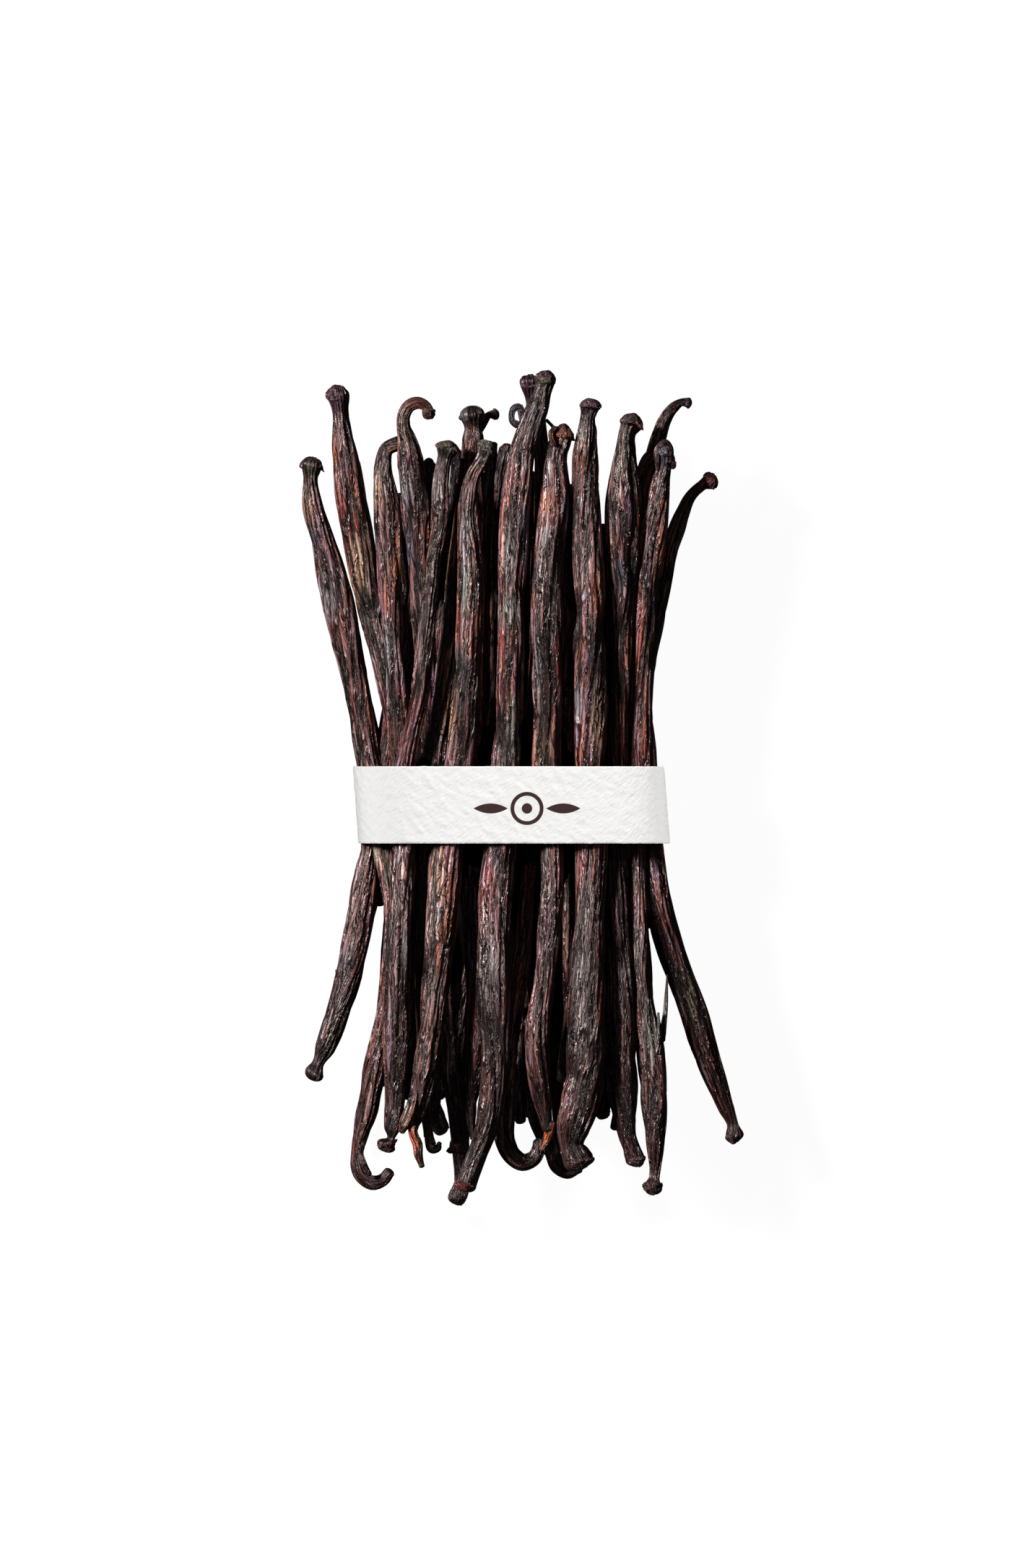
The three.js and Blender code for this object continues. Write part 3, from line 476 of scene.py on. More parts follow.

# patches on the skin: x, y, how far across and along, colour. The white ones are painted glints, and
# the near-black ones on the strips in the gaps are painted shade
STAINS_AND_PAINTED_LIGHT = {
    "outer_left": [(-49.5, 63, 2, 6, TAN), (-47.5, 57, 2.5, 5, BLUE_GREY), (-43.5, 44, 3, 8, GREY),
                   (-41, 27, 3, 12, ROSE), (-38, 8, 3, 9, ROSE), (-47, 72, 3, 3, OLIVE),
                   (-33, -15, 1.8, 4, OLIVE), (-30.5, -19.5, 1.2, 2.5, SAGE),
                   (-32, -42, 1.6, 4, RUST)],
    "lower_left": [(-40, -31, 3, 10, ROSE), (-40.2, -39, 2, 4, BLUE_GREY)],
    "tall_left": [(-42, 88, 3, 3, PLUM), (-41, 79, 2, 5, ROSE), (-42.5, 76, 1.6, 6, RUST),
                  (-39.8, 74, 1.8, 7, BLACK_TONE_AND_SHADE), (-37.5, 66, 1.8, 8, RUST), (-41, 63, 2, 5, RED),
                  (-37, 50, 3, 12, TAN), (-33, 33, 3, 14, ROSE)],
    "left_crook": [(-30, 76.5, 3, 2, RUST), (-33, 68, 2.2, 7, TAN), (-30, 68, 1.6, 6, BLACK_TONE_AND_SHADE),
                   (-32, 58, 2.4, 7, ROSE), (-28.5, 51, 2.4, 7, RUST), (-30, 30, 2.5, 12, GREY)],
    "hook_top": [(-24, 86.5, 4, 2.2, RUST), (-27, 80, 2, 4, TAN), (-26.5, 75.2, 2.4, 3.2, MAGENTA),
                 (-26, 67, 2, 7, GREY), (-25.6, 54, 1.8, 9, BLUE_GREY), (-21.5, 70, 2, 12, BLACK_TONE_AND_SHADE),
                 (-24, 42, 2.6, 12, ROSE), (-22, 24, 2.6, 9, MAGENTA)],
    "slim_front": [(-18, 77, 4, 2.4, OLIVE), (-19, 68, 1.6, 7, GREY), (-20.6, 58, 1.6, 5, RUST),
                   (-21.5, 46, 2, 6, RED), (-23, 30, 2, 8, ROSE), (-26.5, -23, 2.4, 8, ROSE),
                   (-26.4, -38, 1.5, 7, GREY), (-26, -50, 2, 4, RED)],
    "back_head": [(-13, 85, 2.4, 2, GREY), (-9.6, 84, 2, 2, RUST), (-11, 76, 3, 5, RED)],
    "second_mid": [(-15, 55, 2, 9, TAN), (-16.5, 20, 2.4, 12, TAN)],
    "broad_front": [(-8, 78, 3, 3, SAGE), (-10.5, 72, 2, 3, RUST), (-12, 69, 1.6, 3, RED),
                    (-12.5, 58, 2, 6, GREY), (-13, 45, 1.6, 8, SAGE), (-9, 40, 1.6, 4, RUST),
                    (-14, 26, 2, 8, GREY), (-16.5, 16, 2.2, 9, TAN), (-19, -20, 2.4, 9, TAN),
                    (-17, -30, 1.6, 12, RUST), (-20, -47, 2.6, 6, ROSE), (-26, -72, 3, 4, RED)],
    "curl_top": [(-1, 84.5, 3, 3, BLUE_GREY), (1, -17, 1.6, 4, ROSE), (0.8, -34, 1.8, 7, GREY)],
    "red_back": [(1.6, 91, 4, 3, PLUM), (2, 84, 3, 5, ROSE), (4.4, 60, 3, 10, RUST),
                 (2.2, -22, 1.6, 4, RED), (-1.6, -44, 1.8, 5, RUST)],
    "tall_mid": [(4.4, 90, 3, 3.4, OLIVE), (3, 84, 2.4, 4, BLUE_GREY), (-1.6, 70.5, 1.8, 3.6, RED),
                 (1.0, 73.0, 0.4, 2.0, PAINTED_GLINT), (0.6, 58, 2.2, 10, BLUE_GREY), (-2.6, 52, 1.8, 8, GREY),
                 (-2.6, 40, 2.4, 5, SAGE), (-4, 33, 1.6, 5, RED), (-1.6, 12, 2.2, 9, SAGE),
                 (-8, -22, 1.8, 6, RED), (-4.4, -29, 0.4, 1.6, PAINTED_GLINT), (-6.5, -39, 2.4, 7, GREY),
                 (-13, -90, 4, 3, RED)],
    "right_mid": [(9, 79, 4, 2.6, RUST), (6.2, 72.4, 0.45, 2.2, PAINTED_GLINT), (9.5, 76, 3, 3, BLACK_TONE_AND_SHADE),
                  (9, 72, 3, 5, RED), (6, 64, 2, 4, RUST), (5.5, 55, 2, 6, GREY), (9, 52, 2, 12, PLUM),
                  (3.6, 30, 1.4, 12, GREY), (9, 20, 2, 12, RED), (5, 8, 2.6, 5, TAN),
                  (5.6, -34, 2, 8, PLUM), (4.6, -47, 1.6, 4, RED), (6, -72, 2.4, 3, RUST)],
    "gap_right": [(10.5, 30, 3, 22, RED)],
    "big_right": [(15.6, 86, 4, 2.6, PLUM), (13, 81, 1.8, 5, SAGE), (13.4, 74, 1.8, 5, RUST),
                  (16, 68, 2.2, 4, OLIVE), (13.2, 64.6, 0.5, 1.6, PAINTED_GLINT), (13.5, 52, 2.4, 8, ROSE),
                  (17.5, 42, 1.6, 8, RUST), (13.4, 23.6, 1.4, 1.8, RUST), (12.5, 20, 2, 6, GREY),
                  (17, 16, 2, 8, TAN), (15.9, -16, 1.3, 4, RUST), (17.3, -25, 1.5, 3, RUST),
                  (14.4, -27, 2, 4, SAGE), (16.9, -36, 1, 4, RED), (13.4, -41, 2.2, 9, GREY),
                  (17.4, -49, 1.4, 6, RED)],
    "hump_right": [(25, 83.5, 3, 2.4, BLACK_TONE_AND_SHADE), (27, 82, 1.6, 2, RUST), (23.2, 79, 2.4, 4, OLIVE),
                   (23.4, 73, 2.6, 4, OLIVE), (20.6, 61, 1.8, 6, ROSE), (24.4, 64, 2, 9, PLUM),
                   (22.4, 48, 2.2, 6, BLUE_GREY), (20.6, 18.5, 1, 1.8, RUST), (20.8, -28, 1.8, 9, PLUM),
                   (22.4, -42, 1.4, 3, GREY), (25, -72, 2.4, 5, PLUM), (25, -80, 2, 3, RED)],
    "split_right": [(32, 76, 3, 4, BLUE_GREY), (30.7, 68.6, 0.5, 1.4, PAINTED_GLINT), (31, 64.5, 1.6, 4, RUST),
                    (31.4, 53, 2, 8, RUST), (28.6, 50, 1.6, 10, PLUM), (24.8, -21, 1.3, 5, OLIVE),
                    (26, -36, 1.4, 7, OLIVE), (29.2, -56, 2.2, 8, SAGE)],
    "outer_right": [(42.5, 69.6, 3, 2, RED), (37.5, 64, 2, 4, TAN), (36, 57, 2, 7, OLIVE),
                    (27.4, -25, 1.6, 7, RUST), (30.2, -18, 2, 6, PLUM), (32.6, -38, 1.3, 4, RUST),
                    (38, -47, 2, 8, OLIVE)],
    "red_flap": [(-26.0, -75.0, 5, 7, RUST), (-24, -69, 4, 4, RED)],
    "orange_strip": [(-24.2, -79.0, 5, 5, ORANGE), (-22.7, -84.8, 3, 2.2, BLACK_TONE_AND_SHADE)],
    "orange_end": [(5.2, -79.5, 5, 6, ORANGE)],
    # painted shade: these strips in the gaps are near black all over
    "dark_behind": [(-7.8, 66, 5, 14, BLACK_TONE_AND_SHADE)],
    "slot_behind": [(-0.8, -62, 5, 18, BLACK_TONE_AND_SHADE)],
    "slab_behind": [(-12, -71, 4, 12, BLACK_TONE_AND_SHADE)],
    "dark_foot": [(-20, -70, 5, 12, BLACK_TONE_AND_SHADE)],
    "second_hook": [(-18.8, -76, 4, 5, BLACK_TONE_AND_SHADE)],
    "boot": [(-20.6, -80, 3, 4, TAN)],
    "splinter": [(32.4, -49, 3, 10, OLIVE)],
    "split_lip": [(31, -52, 3, 8, SAGE)],
    "hood_tip": [(6.5, 80, 3, 4, RUST)],
    "far_curve": [(37.5, 87, 2.5, 2, PLUM), (31, 80, 2, 4, ROSE)],
    "striped_back": [(29, 72, 3, 6, RUST)],
}


# ---- curves and noise ----

def eased(share):
    share = np.clip(share, 0, 1)
    return share * share * (3 - 2 * share)


def blend(start, end, share):
    return start + (end - start) * share


def level_slopes(knots, values):
    """Slopes at knots for a curve that never swings past its values."""
    steps = np.diff(values) / np.diff(knots)
    before, after = steps[:-1], steps[1:]
    same_way = before * after > 0
    inner = np.where(same_way, 2 * before * after / np.where(same_way, before + after, 1), 0)
    return np.concatenate([[steps[0]], inner, [steps[-1]]])


def through(knots, values, places, slopes=None):
    """A smooth curve through values at knots, read at some places."""
    if slopes is None:
        slopes = np.gradient(values, knots)
    index = np.clip(np.searchsorted(knots, places, side="right") - 1, 0, len(knots) - 2)
    span = knots[index + 1] - knots[index]
    share = (places - knots[index]) / span
    rest = 1 - share
    return (values[index] * rest * rest * (1 + 2 * share)
            + values[index + 1] * share * share * (3 - 2 * share)
            + slopes[index] * span * share * rest * rest
            - slopes[index + 1] * span * share * share * rest)


def field(around, along, cells, seed):
    """Smooth noise from 0 to 1 that closes on itself round a pod. around is in turns, along in
    cells."""
    along = along - np.floor(along.min())
    grid = np.random.default_rng(seed).random((cells, int(along.max()) + 2))
    column = around * cells
    left = np.floor(column).astype(int)
    low = np.floor(along).astype(int)
    across = eased(column - left)
    up = eased(along - low)
    before = blend(grid[left % cells, low], grid[(left + 1) % cells, low], across)
    after = blend(grid[left % cells, low + 1], grid[(left + 1) % cells, low + 1], across)
    return blend(before, after, up)


def strands(around, along, cells, seed):
    """Long cells that taper past each other round a pod: how far in from the cell's edge a place is,
    and the cell's own number. around is in turns, along in cells."""
    along = along - np.floor(along.min()) + 1
    rows = int(along.max()) + 3
    shift_x, shift_y, number = np.random.default_rng(seed).random((3, cells, rows))
    column = around * cells
    left = np.floor(column).astype(int)
    low = np.floor(along).astype(int)
    nearest = np.full(len(around), np.inf)
    second = np.full(len(around), np.inf)
    own = np.zeros(len(around))
    for right_by in (-1, 0, 1):
        for up_by in (-1, 0, 1):
            cell = (left + right_by) % cells, low + up_by
            gap = np.hypot(left + right_by + shift_x[cell] - column,
                           low + up_by + shift_y[cell] - along)
            closer = gap < nearest
            second = np.where(closer, nearest, np.minimum(second, gap))
            own = np.where(closer, number[cell], own)
            nearest = np.where(closer, gap, nearest)
    return second - nearest, own


# ---- the heap's shape ----

def away_from_band(y, reach):
    return np.clip((np.abs(y - BAND_Y) - BAND_LENGTH / 2) / reach, 0, 1)


def middle_z(y):
    return blend(BAND_Z, END_HALF_DEPTH - PRESSED_FLAT, eased(away_from_band(y, SETTLE_REACH)))


def middle_x(y):
    return blend(BAND_X, 0, away_from_band(y, END_REACH))


def height_at(x, y, lift, radius):
    """The height of a pod's centre above the table, from its place across and its lift."""
    settled = eased(away_from_band(y, SETTLE_REACH))
    half_width = blend(WAIST_HALF_WIDTH, END_HALF_WIDTH, away_from_band(y, END_REACH)) - radius
    half_depth = blend(WAIST_HALF_DEPTH, END_HALF_DEPTH, settled) - radius
    settled_squareness = np.where(lift < 0, TABLE_SQUARENESS, OVAL_SQUARENESS)
    squareness = blend(OVAL_SQUARENESS, settled_squareness, settled)
    across = np.minimum(np.abs(x - middle_x(y)) / half_width, 1)
    edge = (1 - across ** squareness) ** (1 / squareness)
    return middle_z(y) + lift * half_depth * np.maximum(edge, LEAST_EDGE)


def lift_at(y, lift):
    """A pod's lift along its length, eased from the waist to its own two ends."""
    head, waist, foot = lift
    end = np.where(y > BAND_Y, y[0], y[-1])
    share = eased((y - BAND_Y) / (end - BAND_Y))
    return blend(waist, np.where(y > BAND_Y, head, foot), share)


def inside_band(points):
    """Pods are pressed in by the band, so what would stand out of it is moved back."""
    half_width = BAND_WIDTH / 2 - BAND_PAPER - BAND_SLACK
    half_depth = BAND_DEPTH / 2 - BAND_PAPER - BAND_SLACK
    x = points[:, 0] - BAND_X + BAND_LEAN * (points[:, 1] - BAND_Y)
    z = points[:, 2] - BAND_Z
    reach = np.abs(x / half_width) ** BAND_SQUARENESS + np.abs(z / half_depth) ** BAND_SQUARENESS
    reach = reach ** (1 / BAND_SQUARENESS)
    held = 1 - eased(away_from_band(points[:, 1], BAND_GRIP))
    shrink = blend(1, 1 / np.maximum(reach, 1), held) - 1
    points[:, 0] += x * shrink
    points[:, 2] += z * shrink
    return points


def route_at(route, y):
    """Where a route is at a place along the bundle, and how wide."""
    reached = [index for index, station in enumerate(route) if station[1] <= y]
    following = max(reached[0], 1) if reached else len(route) - 1
    x0, y0, width0 = route[following - 1]
    x1, y1, width1 = route[following]
    share = min(max((y - y0) / (y1 - y0), 0), 1)
    return blend(x0, x1, share), blend(width0, width1, share)


def away_from_waist(y):
    """0 where pods have the waist's own spacing, 1 where they have their ends' spacing."""
    return float(eased(abs(y - BAND_Y) / UNDER_HOST_REACH))


def waist_x(slot, count, half_width):
    return BAND_X + half_width * (2 * slot / (count - 1) - 1)


def with_necks(route):
    """A route with a narrow neck behind each of its two ends."""
    necked = []
    for end, inner in ((route[0], route[1]), (route[-1], route[-2])):
        share = UNDER_NECK_REACH / abs(end[1] - inner[1])
        x, y = blend(end[0], inner[0], share), blend(end[1], inner[1], share)
        necked.append([x, y, inner[2] * UNDER_NECK])
    return [route[0], necked[0], *route[1:-1], necked[1], route[-1]]


def gap_x(left, right, y):
    """The middle of the gap between two pods, at a place along the bundle."""
    left_x, left_width = route_at(PODS[left][2], y)
    right_x, right_width = route_at(PODS[right][2], y)
    return (left_x + left_width / 2 + right_x - right_width / 2) / 2


def gap_pods():
    """The row that fills the gaps."""
    found = []
    for slot, (head, foot) in enumerate(GAP_ROW):
        top, bottom = head[2], foot[2]
        between = [y for y in GAP_Y if bottom + LEAST_STEP < y < top - LEAST_STEP]
        route = []
        for y in [top, *between, bottom]:
            left, right, _ = head if y > BAND_Y else foot
            at_waist = waist_x(slot, len(GAP_ROW), GAP_HALF_WIDTH)
            x = blend(at_waist, gap_x(left, right, y), away_from_waist(y))
            route.append([x, y, GAP_WIDTH * UNDER_TIP if y in (top, bottom) else GAP_WIDTH])
        warmth = GAP_WARMTH + WARMTH_SPREAD * ((slot + 1) * HEAD_SHARE % 1)
        found.append(([GAP_LIFT] * 3, warmth, with_necks(route)))
    return found


def under_pods(order, lift, half_width, skip):
    """A row underneath. Its ends are cut back by a rule that never repeats."""
    heads = [host for index, host in enumerate(UNDER_HEADS) if index != skip]
    feet = [host for index, host in enumerate(UNDER_FEET) if index != skip]
    found = []
    for slot, (head_host, foot_host) in enumerate(zip(heads, feet)):
        order += 1
        head = PODS[head_host][2]
        foot = PODS[foot_host][2]
        top = max(y for _, y, _ in head) - UNDER_CUT - UNDER_CUT_RANGE * (order * HEAD_SHARE % 1)
        bottom = min(y for _, y, _ in foot) + UNDER_CUT + UNDER_CUT_RANGE * (order * FOOT_SHARE % 1)
        route = []
        for y in [top, *UNDER_Y, bottom]:
            host_x, host_width = route_at(head if y > BAND_Y else foot, y)
            away = away_from_waist(y)
            full = min(UNDER_WIDTH, blend(UNDER_WIDTH, host_width + UNDER_WIDER, away))
            width = full * UNDER_TIP if y in (top, bottom) else full
            route.append([blend(waist_x(slot, len(heads), half_width), host_x, away), y, width])
        warmth = UNDER_WARMTH + WARMTH_SPREAD * (order * HEAD_SHARE % 1)
        found.append(([lift] * 3, warmth, with_necks(route)))
    return found


# ---- the pods' meshes ----

def turn_of(x, y):
    """How far round a tube a point is, in turns from its lowest line."""
    return (np.arctan2(y, x) / math.tau + 0.25) % 1


def straight_tube(name, sides, rings):
    """A closed tube along Z from 0 to 1, with a map of its skin that is cut along its lowest line."""
    tube = bmesh.new()
    bmesh.ops.create_cone(tube, cap_ends=True, cap_tris=True, segments=sides, radius1=1, radius2=1,
                          depth=1, matrix=Matrix.Translation((0, 0, 0.5)))
    lengthwise = [edge for edge in tube.edges if abs(edge.verts[0].co.z - edge.verts[1].co.z) > 0.5]
    bmesh.ops.subdivide_edges(tube, edges=lengthwise, cuts=rings - 2, use_grid_fill=True)
    skin = tube.loops.layers.uv.new("skin")
    for face in tube.faces:
        face.smooth = True
        centre = face.calc_center_median()
        middle = turn_of(centre.x, centre.y)
        for loop in face.loops:
            place = loop.vert.co
            turn = turn_of(place.x, place.y) if place.xy.length > 0.5 else middle
            turn += round(float(middle - turn))
            loop[skin].uv = (turn, place.z)
    mesh = bpy.data.meshes.new(name)
    tube.to_mesh(mesh)
    tube.free()
    return mesh


def mesh_array(items, attribute, width):
    values = np.zeros(len(items) * width)
    items.foreach_get(attribute, values)
    return values.reshape(-1, width)


def end_dome(distance, width):
    """How full a rounded end is, 0 at its tip to 1 where it is done."""
    reach = np.maximum(width * END_ROUNDING, LEAST_ROUNDING)
    rest = 1 - np.clip(distance / reach, 0, 1)
    return (1 - rest ** END_SQUARENESS) ** (1 / END_SQUARENESS)


def crowded(share):
    """A tube's rings moved closer together near its two ends."""
    return share - RING_CROWDING * np.sin(math.tau * share) / math.tau


def past_end(end, inner, width):
    """Where a pod's rounded tip ends, a little past its last station."""
    return end + (end - inner) / np.linalg.norm(end - inner) * (width * END_ROUNDING)


def centre_line(lift, route):
    """A pod's centre from tip to tip, its widths, and how far along it they are."""
    x, y, widths = np.array(route, float).T
    height = height_at(x, y, lift_at(y, lift), widths.max() / 2)
    centre = np.column_stack([x, y, height])
    first = past_end(centre[0], centre[1], widths[0])
    last = past_end(centre[-1], centre[-2], widths[-1])
    centre = np.vstack([first, centre, last])
    widths = np.concatenate([widths[:1], widths, widths[-1:]])
    steps = np.linalg.norm(np.diff(centre, axis=0), axis=1)
    return centre, widths, np.concatenate([[0], np.cumsum(steps)])


def centre_at(centre, knots, distance):
    return np.column_stack([through(knots, centre[:, axis], distance) for axis in range(3)])


def across_pod(centre, knots, distance):
    """The directions to a pod's side and up from it, at some places along it."""
    ahead = centre_at(centre, knots, np.minimum(distance + CURVE_STEP, knots[-1]))
    behind = centre_at(centre, knots, np.maximum(distance - CURVE_STEP, 0))
    along = ahead - behind
    along /= np.linalg.norm(along, axis=1)[:, None]
    side = np.cross(along, [0, 0, 1])
    side /= np.linalg.norm(side, axis=1)[:, None]
    return side, np.cross(side, along)


def uneven(kind, turn, distance, seed):
    """One kind of unevenness round and along a pod, from 0 to 1."""
    cell_length, cells, extra_seed = kind
    return field(turn, distance / cell_length, cells, seed + extra_seed)


def round_backed(inward):
    """The height of a ridge, from how far inside its edge a place is."""
    return 1 - (1 - np.minimum(inward / RIDGE_SHOULDER, 1)) ** 2


def ridges(turned, distance, count, seed):
    """The height of a pod's ridges, from 0 to 1, and each one's own number."""
    inward, draw = strands(turned, distance / RIDGE_LENGTH, count, seed + RIDGE_SEED)
    split_distance = distance / (RIDGE_LENGTH * SPLIT_LENGTH)
    split_count = round(count * SPLIT_COUNT)
    split_inward, _ = strands(turned, split_distance, split_count, seed + SPLIT_SEED)
    patches = uneven(SPLITTING, turned, distance, seed)
    split_share = eased(SPLIT_CONTRAST * patches - SPLIT_START)
    split = blend(1, round_backed(split_inward), SPLIT_DEPTH * split_share)
    return round_backed(inward) * split, draw


def folds(turned, distance, seed):
    """0 in a deep fold and 1 away from it."""
    fold = np.abs(2 * uneven(FOLDS, turned, distance, seed) - 1)
    return np.minimum(FOLD_STEEPNESS * fold, 1) ** FOLD_ROUNDING


def bent_pod(template, pod, seed, stains=(), sunk=0.0):
    """A pod's points, skin map and the height of its skin, from a straight tube's."""
    lift, warmth, route = pod
    centre, widths, knots = centre_line(lift, route)
    length = knots[-1]
    radius = widths.max() / 2
    place = mesh_array(template.vertices, "co", 3)
    rim = np.hypot(place[:, 0], place[:, 1])
    turn = turn_of(place[:, 0], place[:, 1])
    share = crowded(place[:, 2])
    distance = blend(length * share, TIP_SCAR + (length - 2 * TIP_SCAR) * share, np.minimum(rim, 1))
    to_end = np.minimum(distance, length - distance)
    width = through(knots, widths, distance, level_slopes(knots, widths))
    width = width * end_dome(to_end, width)

    dice = np.random.default_rng(seed)
    twist = dice.uniform(-TWIST, TWIST) / POD_LENGTH
    straight = turn + twist * distance
    turned = straight
    for kind, turns in BENDS:
        turned = turned + turns * (uneven(kind, straight, distance, seed) - 0.5)
    count = max(LEAST_RIDGES, round(math.pi * 2 * radius / RIDGE_PITCH))
    ridge, draw = ridges(turned, distance, count, seed)
    fold = folds(turned, distance, seed)

    at_end = 1 - eased((to_end - LOBES_FROM) / LOBES_REACH)
    calm = blend(1, END_CALM, at_end)
    lump = uneven(LUMPS, turn, distance, seed) - 0.5
    lobe = uneven(LOBES, turn, distance, seed) - 0.5
    relief = (FOLD_DEPTH * (fold - FOLD_MEAN) + LUMP_DEPTH * lump) * calm + LOBE_DEPTH * at_end * lobe
    cut = RIDGE_DEPTH * (ridge - RIDGE_MEAN) * np.minimum(width / FULL_RIDGE_WIDTH, 1)
    reach = (width / 2 * (1 + relief) + cut * calm * end_dome(to_end, width)) * rim
    sway = SWAY_REACH * (uneven(SWAYS, np.zeros_like(turn), distance, seed) - 0.5)
    depth = blend(SECTION_DEPTH, 1, at_end)
    angle = math.tau * (turn - 0.25)
    side, up = across_pod(centre, knots, distance)
    points = (centre_at(centre, knots, distance)
              + side * (sway + reach * np.cos(angle))[:, None]
              + up * (depth * reach * np.sin(angle))[:, None])
    points = inside_band(points)
    points[:, 2] = np.maximum(points[:, 2], TABLE_GAP)

    skin_turn, skin_share = mesh_array(template.uv_layers["skin"].data, "uv", 2).T
    skin_along = length * crowded(skin_share)
    skin_across = (skin_turn + twist * skin_along) * math.pi * 2 * radius
    warm = warmth + WARMTH_RANGE * (uneven(WARM_PATCHES, turned, distance, seed) - 0.5)
    ragged = field(turned, distance / RAGGED_LENGTH, 2 * count, seed + RAGGED_SEED)
    ending = 1 - eased((to_end - ENDING_FROM) / ENDING_REACH)
    # painted shade: the colour darkens towards the feet
    lower = LOWER_HALF_SHADE * eased((BAND_Y - points[:, 1]) / LOWER_REACH)
    return {
        "points": points,
        "skin": np.column_stack([skin_across, skin_along + SKIN_SHIFT * dice.random()]),
        # the ridge height, lowered in deep folds, also sets the painted shade of creases and folds
        "ridge": np.clip(ridge * blend(FOLD_SHADE, 1, fold), 0, 1),
        "draw": draw,
        "warmth": np.clip(warm, 0, 1),
        "ending": np.maximum(ending, lower),
        "sunk": np.full(len(turn), sunk),
        "stain": stain_at(points, stains, ragged),
    }


def stain_at(points, stains, ragged):
    """The colour of the patches on a pod, and how much of it shows."""
    stain = np.zeros((len(points), 4))
    for x, y, across, along, patch in stains:
        from_middle = np.hypot((points[:, 0] - x) / across, (points[:, 1] - y) / along)
        share = eased(STAIN_STRENGTH - STAIN_FADE * from_middle - STAIN_RAGGEDNESS * ragged)
        over = np.where(stain[:, 3] > 0, share, share > 0)
        stain[:, :3] = blend(stain[:, :3], patch, over[:, None])
        stain[:, 3] = np.maximum(stain[:, 3], share)
    return stain


def round_ball(name):
    """A closed ball of radius 1 with a map of its skin."""
    ball = bmesh.new()
    bmesh.ops.create_icosphere(ball, subdivisions=KNOB_FINENESS, radius=1)
    skin = ball.loops.layers.uv.new("skin")
    for face in ball.faces:
        face.smooth = True
        for loop in face.loops:
            loop[skin].uv = loop.vert.co.xy
    mesh = bpy.data.meshes.new(name)
    ball.to_mesh(mesh)
    ball.free()
    return mesh


def ball_noise(places, stretch, shift):
    """Noise over the surface of a ball, from -1 to 1."""
    return np.array([noise.noise(Vector(place * stretch) + Vector(shift)) for place in places])


def wrinkles(places, stretch, seed):
    """0 in a crease and 1 between, over the surface of a ball."""
    found = np.abs(ball_noise(places, np.array(stretch), (seed, 0, 0)))
    return np.minimum(found * CREASE_STEEPNESS, 1) ** CREASE_ROUNDING


def knob(template, row, seed):
    """A knob's points, skin map and the height of its skin, from a ball's."""
    pod, x, y, facing, width, height, left_droop, right_droop = row
    lift, warmth, _ = PODS[pod]
    end_lift = lift[0] if y > BAND_Y else lift[2]
    ball = mesh_array(template.vertices, "co", 3)
    crease = math.prod(wrinkles(ball, stretch, seed + extra) for stretch, extra in KNOB_CREASES)
    lump = ball_noise(ball, KNOB_LUMPS, (0, seed, 0))
    grit = ball_noise(ball, KNOB_GRIT, (0, 0, seed))
    grown = (1 + KNOB_LUMP_DEPTH * lump + KNOB_CREASE_DEPTH * (crease - KNOB_CREASE_MEAN)
             + KNOB_GRIT_DEPTH * grit)
    across, ahead, up = (ball * grown[:, None]).T
    ahead = ahead * np.where(ahead < 0, KNOB_UNDERSIDE, 1)
    droop = np.where(across < 0, left_droop, right_droop) * across ** 2
    droop = droop + KNOB_DOMING * height * up ** 2
    ahead = ahead * height / 2 - droop
    across = across * width / 2
    turn = math.radians(facing)
    level = height_at(np.array([x]), np.array([y]), np.array([end_lift]), width / 2)
    points = np.column_stack([
        x + across * math.cos(turn) + ahead * math.sin(turn),
        y - across * math.sin(turn) + ahead * math.cos(turn),
        level + up * width / 2 * KNOB_DEPTH,
    ])
    points[:, 2] = np.maximum(points[:, 2], TABLE_GAP)
    flat = mesh_array(template.uv_layers["skin"].data, "uv", 2)
    return {
        "points": points,
        "skin": flat * [width, height] + [seed * 7, 0],
        # the knob's creases are painted dark as shade by the skin's colour
        "ridge": np.clip(0.25 + 0.75 * crease, 0, 1),
        "draw": np.clip(0.5 + 0.8 * lump, 0, 1),
        "warmth": np.full(len(ball), warmth),
        "ending": np.full(len(ball), KNOB_ENDING),
        "sunk": np.zeros(len(ball)),
        "stain": stain_at(points, STAINS_AND_PAINTED_LIGHT.get(pod, ()), 0.5 + 0.5 * grit),
    }


def joined_piece(name, template, parts, material):
    """One object from a template repeated once for each part, moved to that part's points."""
    tubes = bmesh.new()
    for _ in parts:
        tubes.from_mesh(template)
    mesh = bpy.data.meshes.new(name)
    tubes.to_mesh(mesh)
    tubes.free()
    points = np.vstack([part["points"] for part in parts]) * MM
    mesh.vertices.foreach_set("co", points.ravel())
    skin = np.vstack([part["skin"] for part in parts])
    mesh.uv_layers["skin"].data.foreach_set("uv", skin.ravel())
    for key in ("ridge", "draw", "warmth", "ending", "sunk"):
        layer = mesh.attributes.new(key, "FLOAT", "POINT")
        layer.data.foreach_set("value", np.concatenate([part[key] for part in parts]))
    stain = mesh.attributes.new("stain", "FLOAT_COLOR", "POINT")
    stain.data.foreach_set("color", np.vstack([part["stain"] for part in parts]).ravel())
    mesh.update()
    return shown(name, mesh, material)


def shown(name, mesh, material):
    """Puts a finished mesh in the scene as a piece of the bundle."""
    piece = bpy.data.objects.new(name, mesh)
    bpy.context.scene.collection.objects.link(piece)
    mesh.materials.append(material)
    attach(piece, BODY)
    return piece


# ---- materials ----

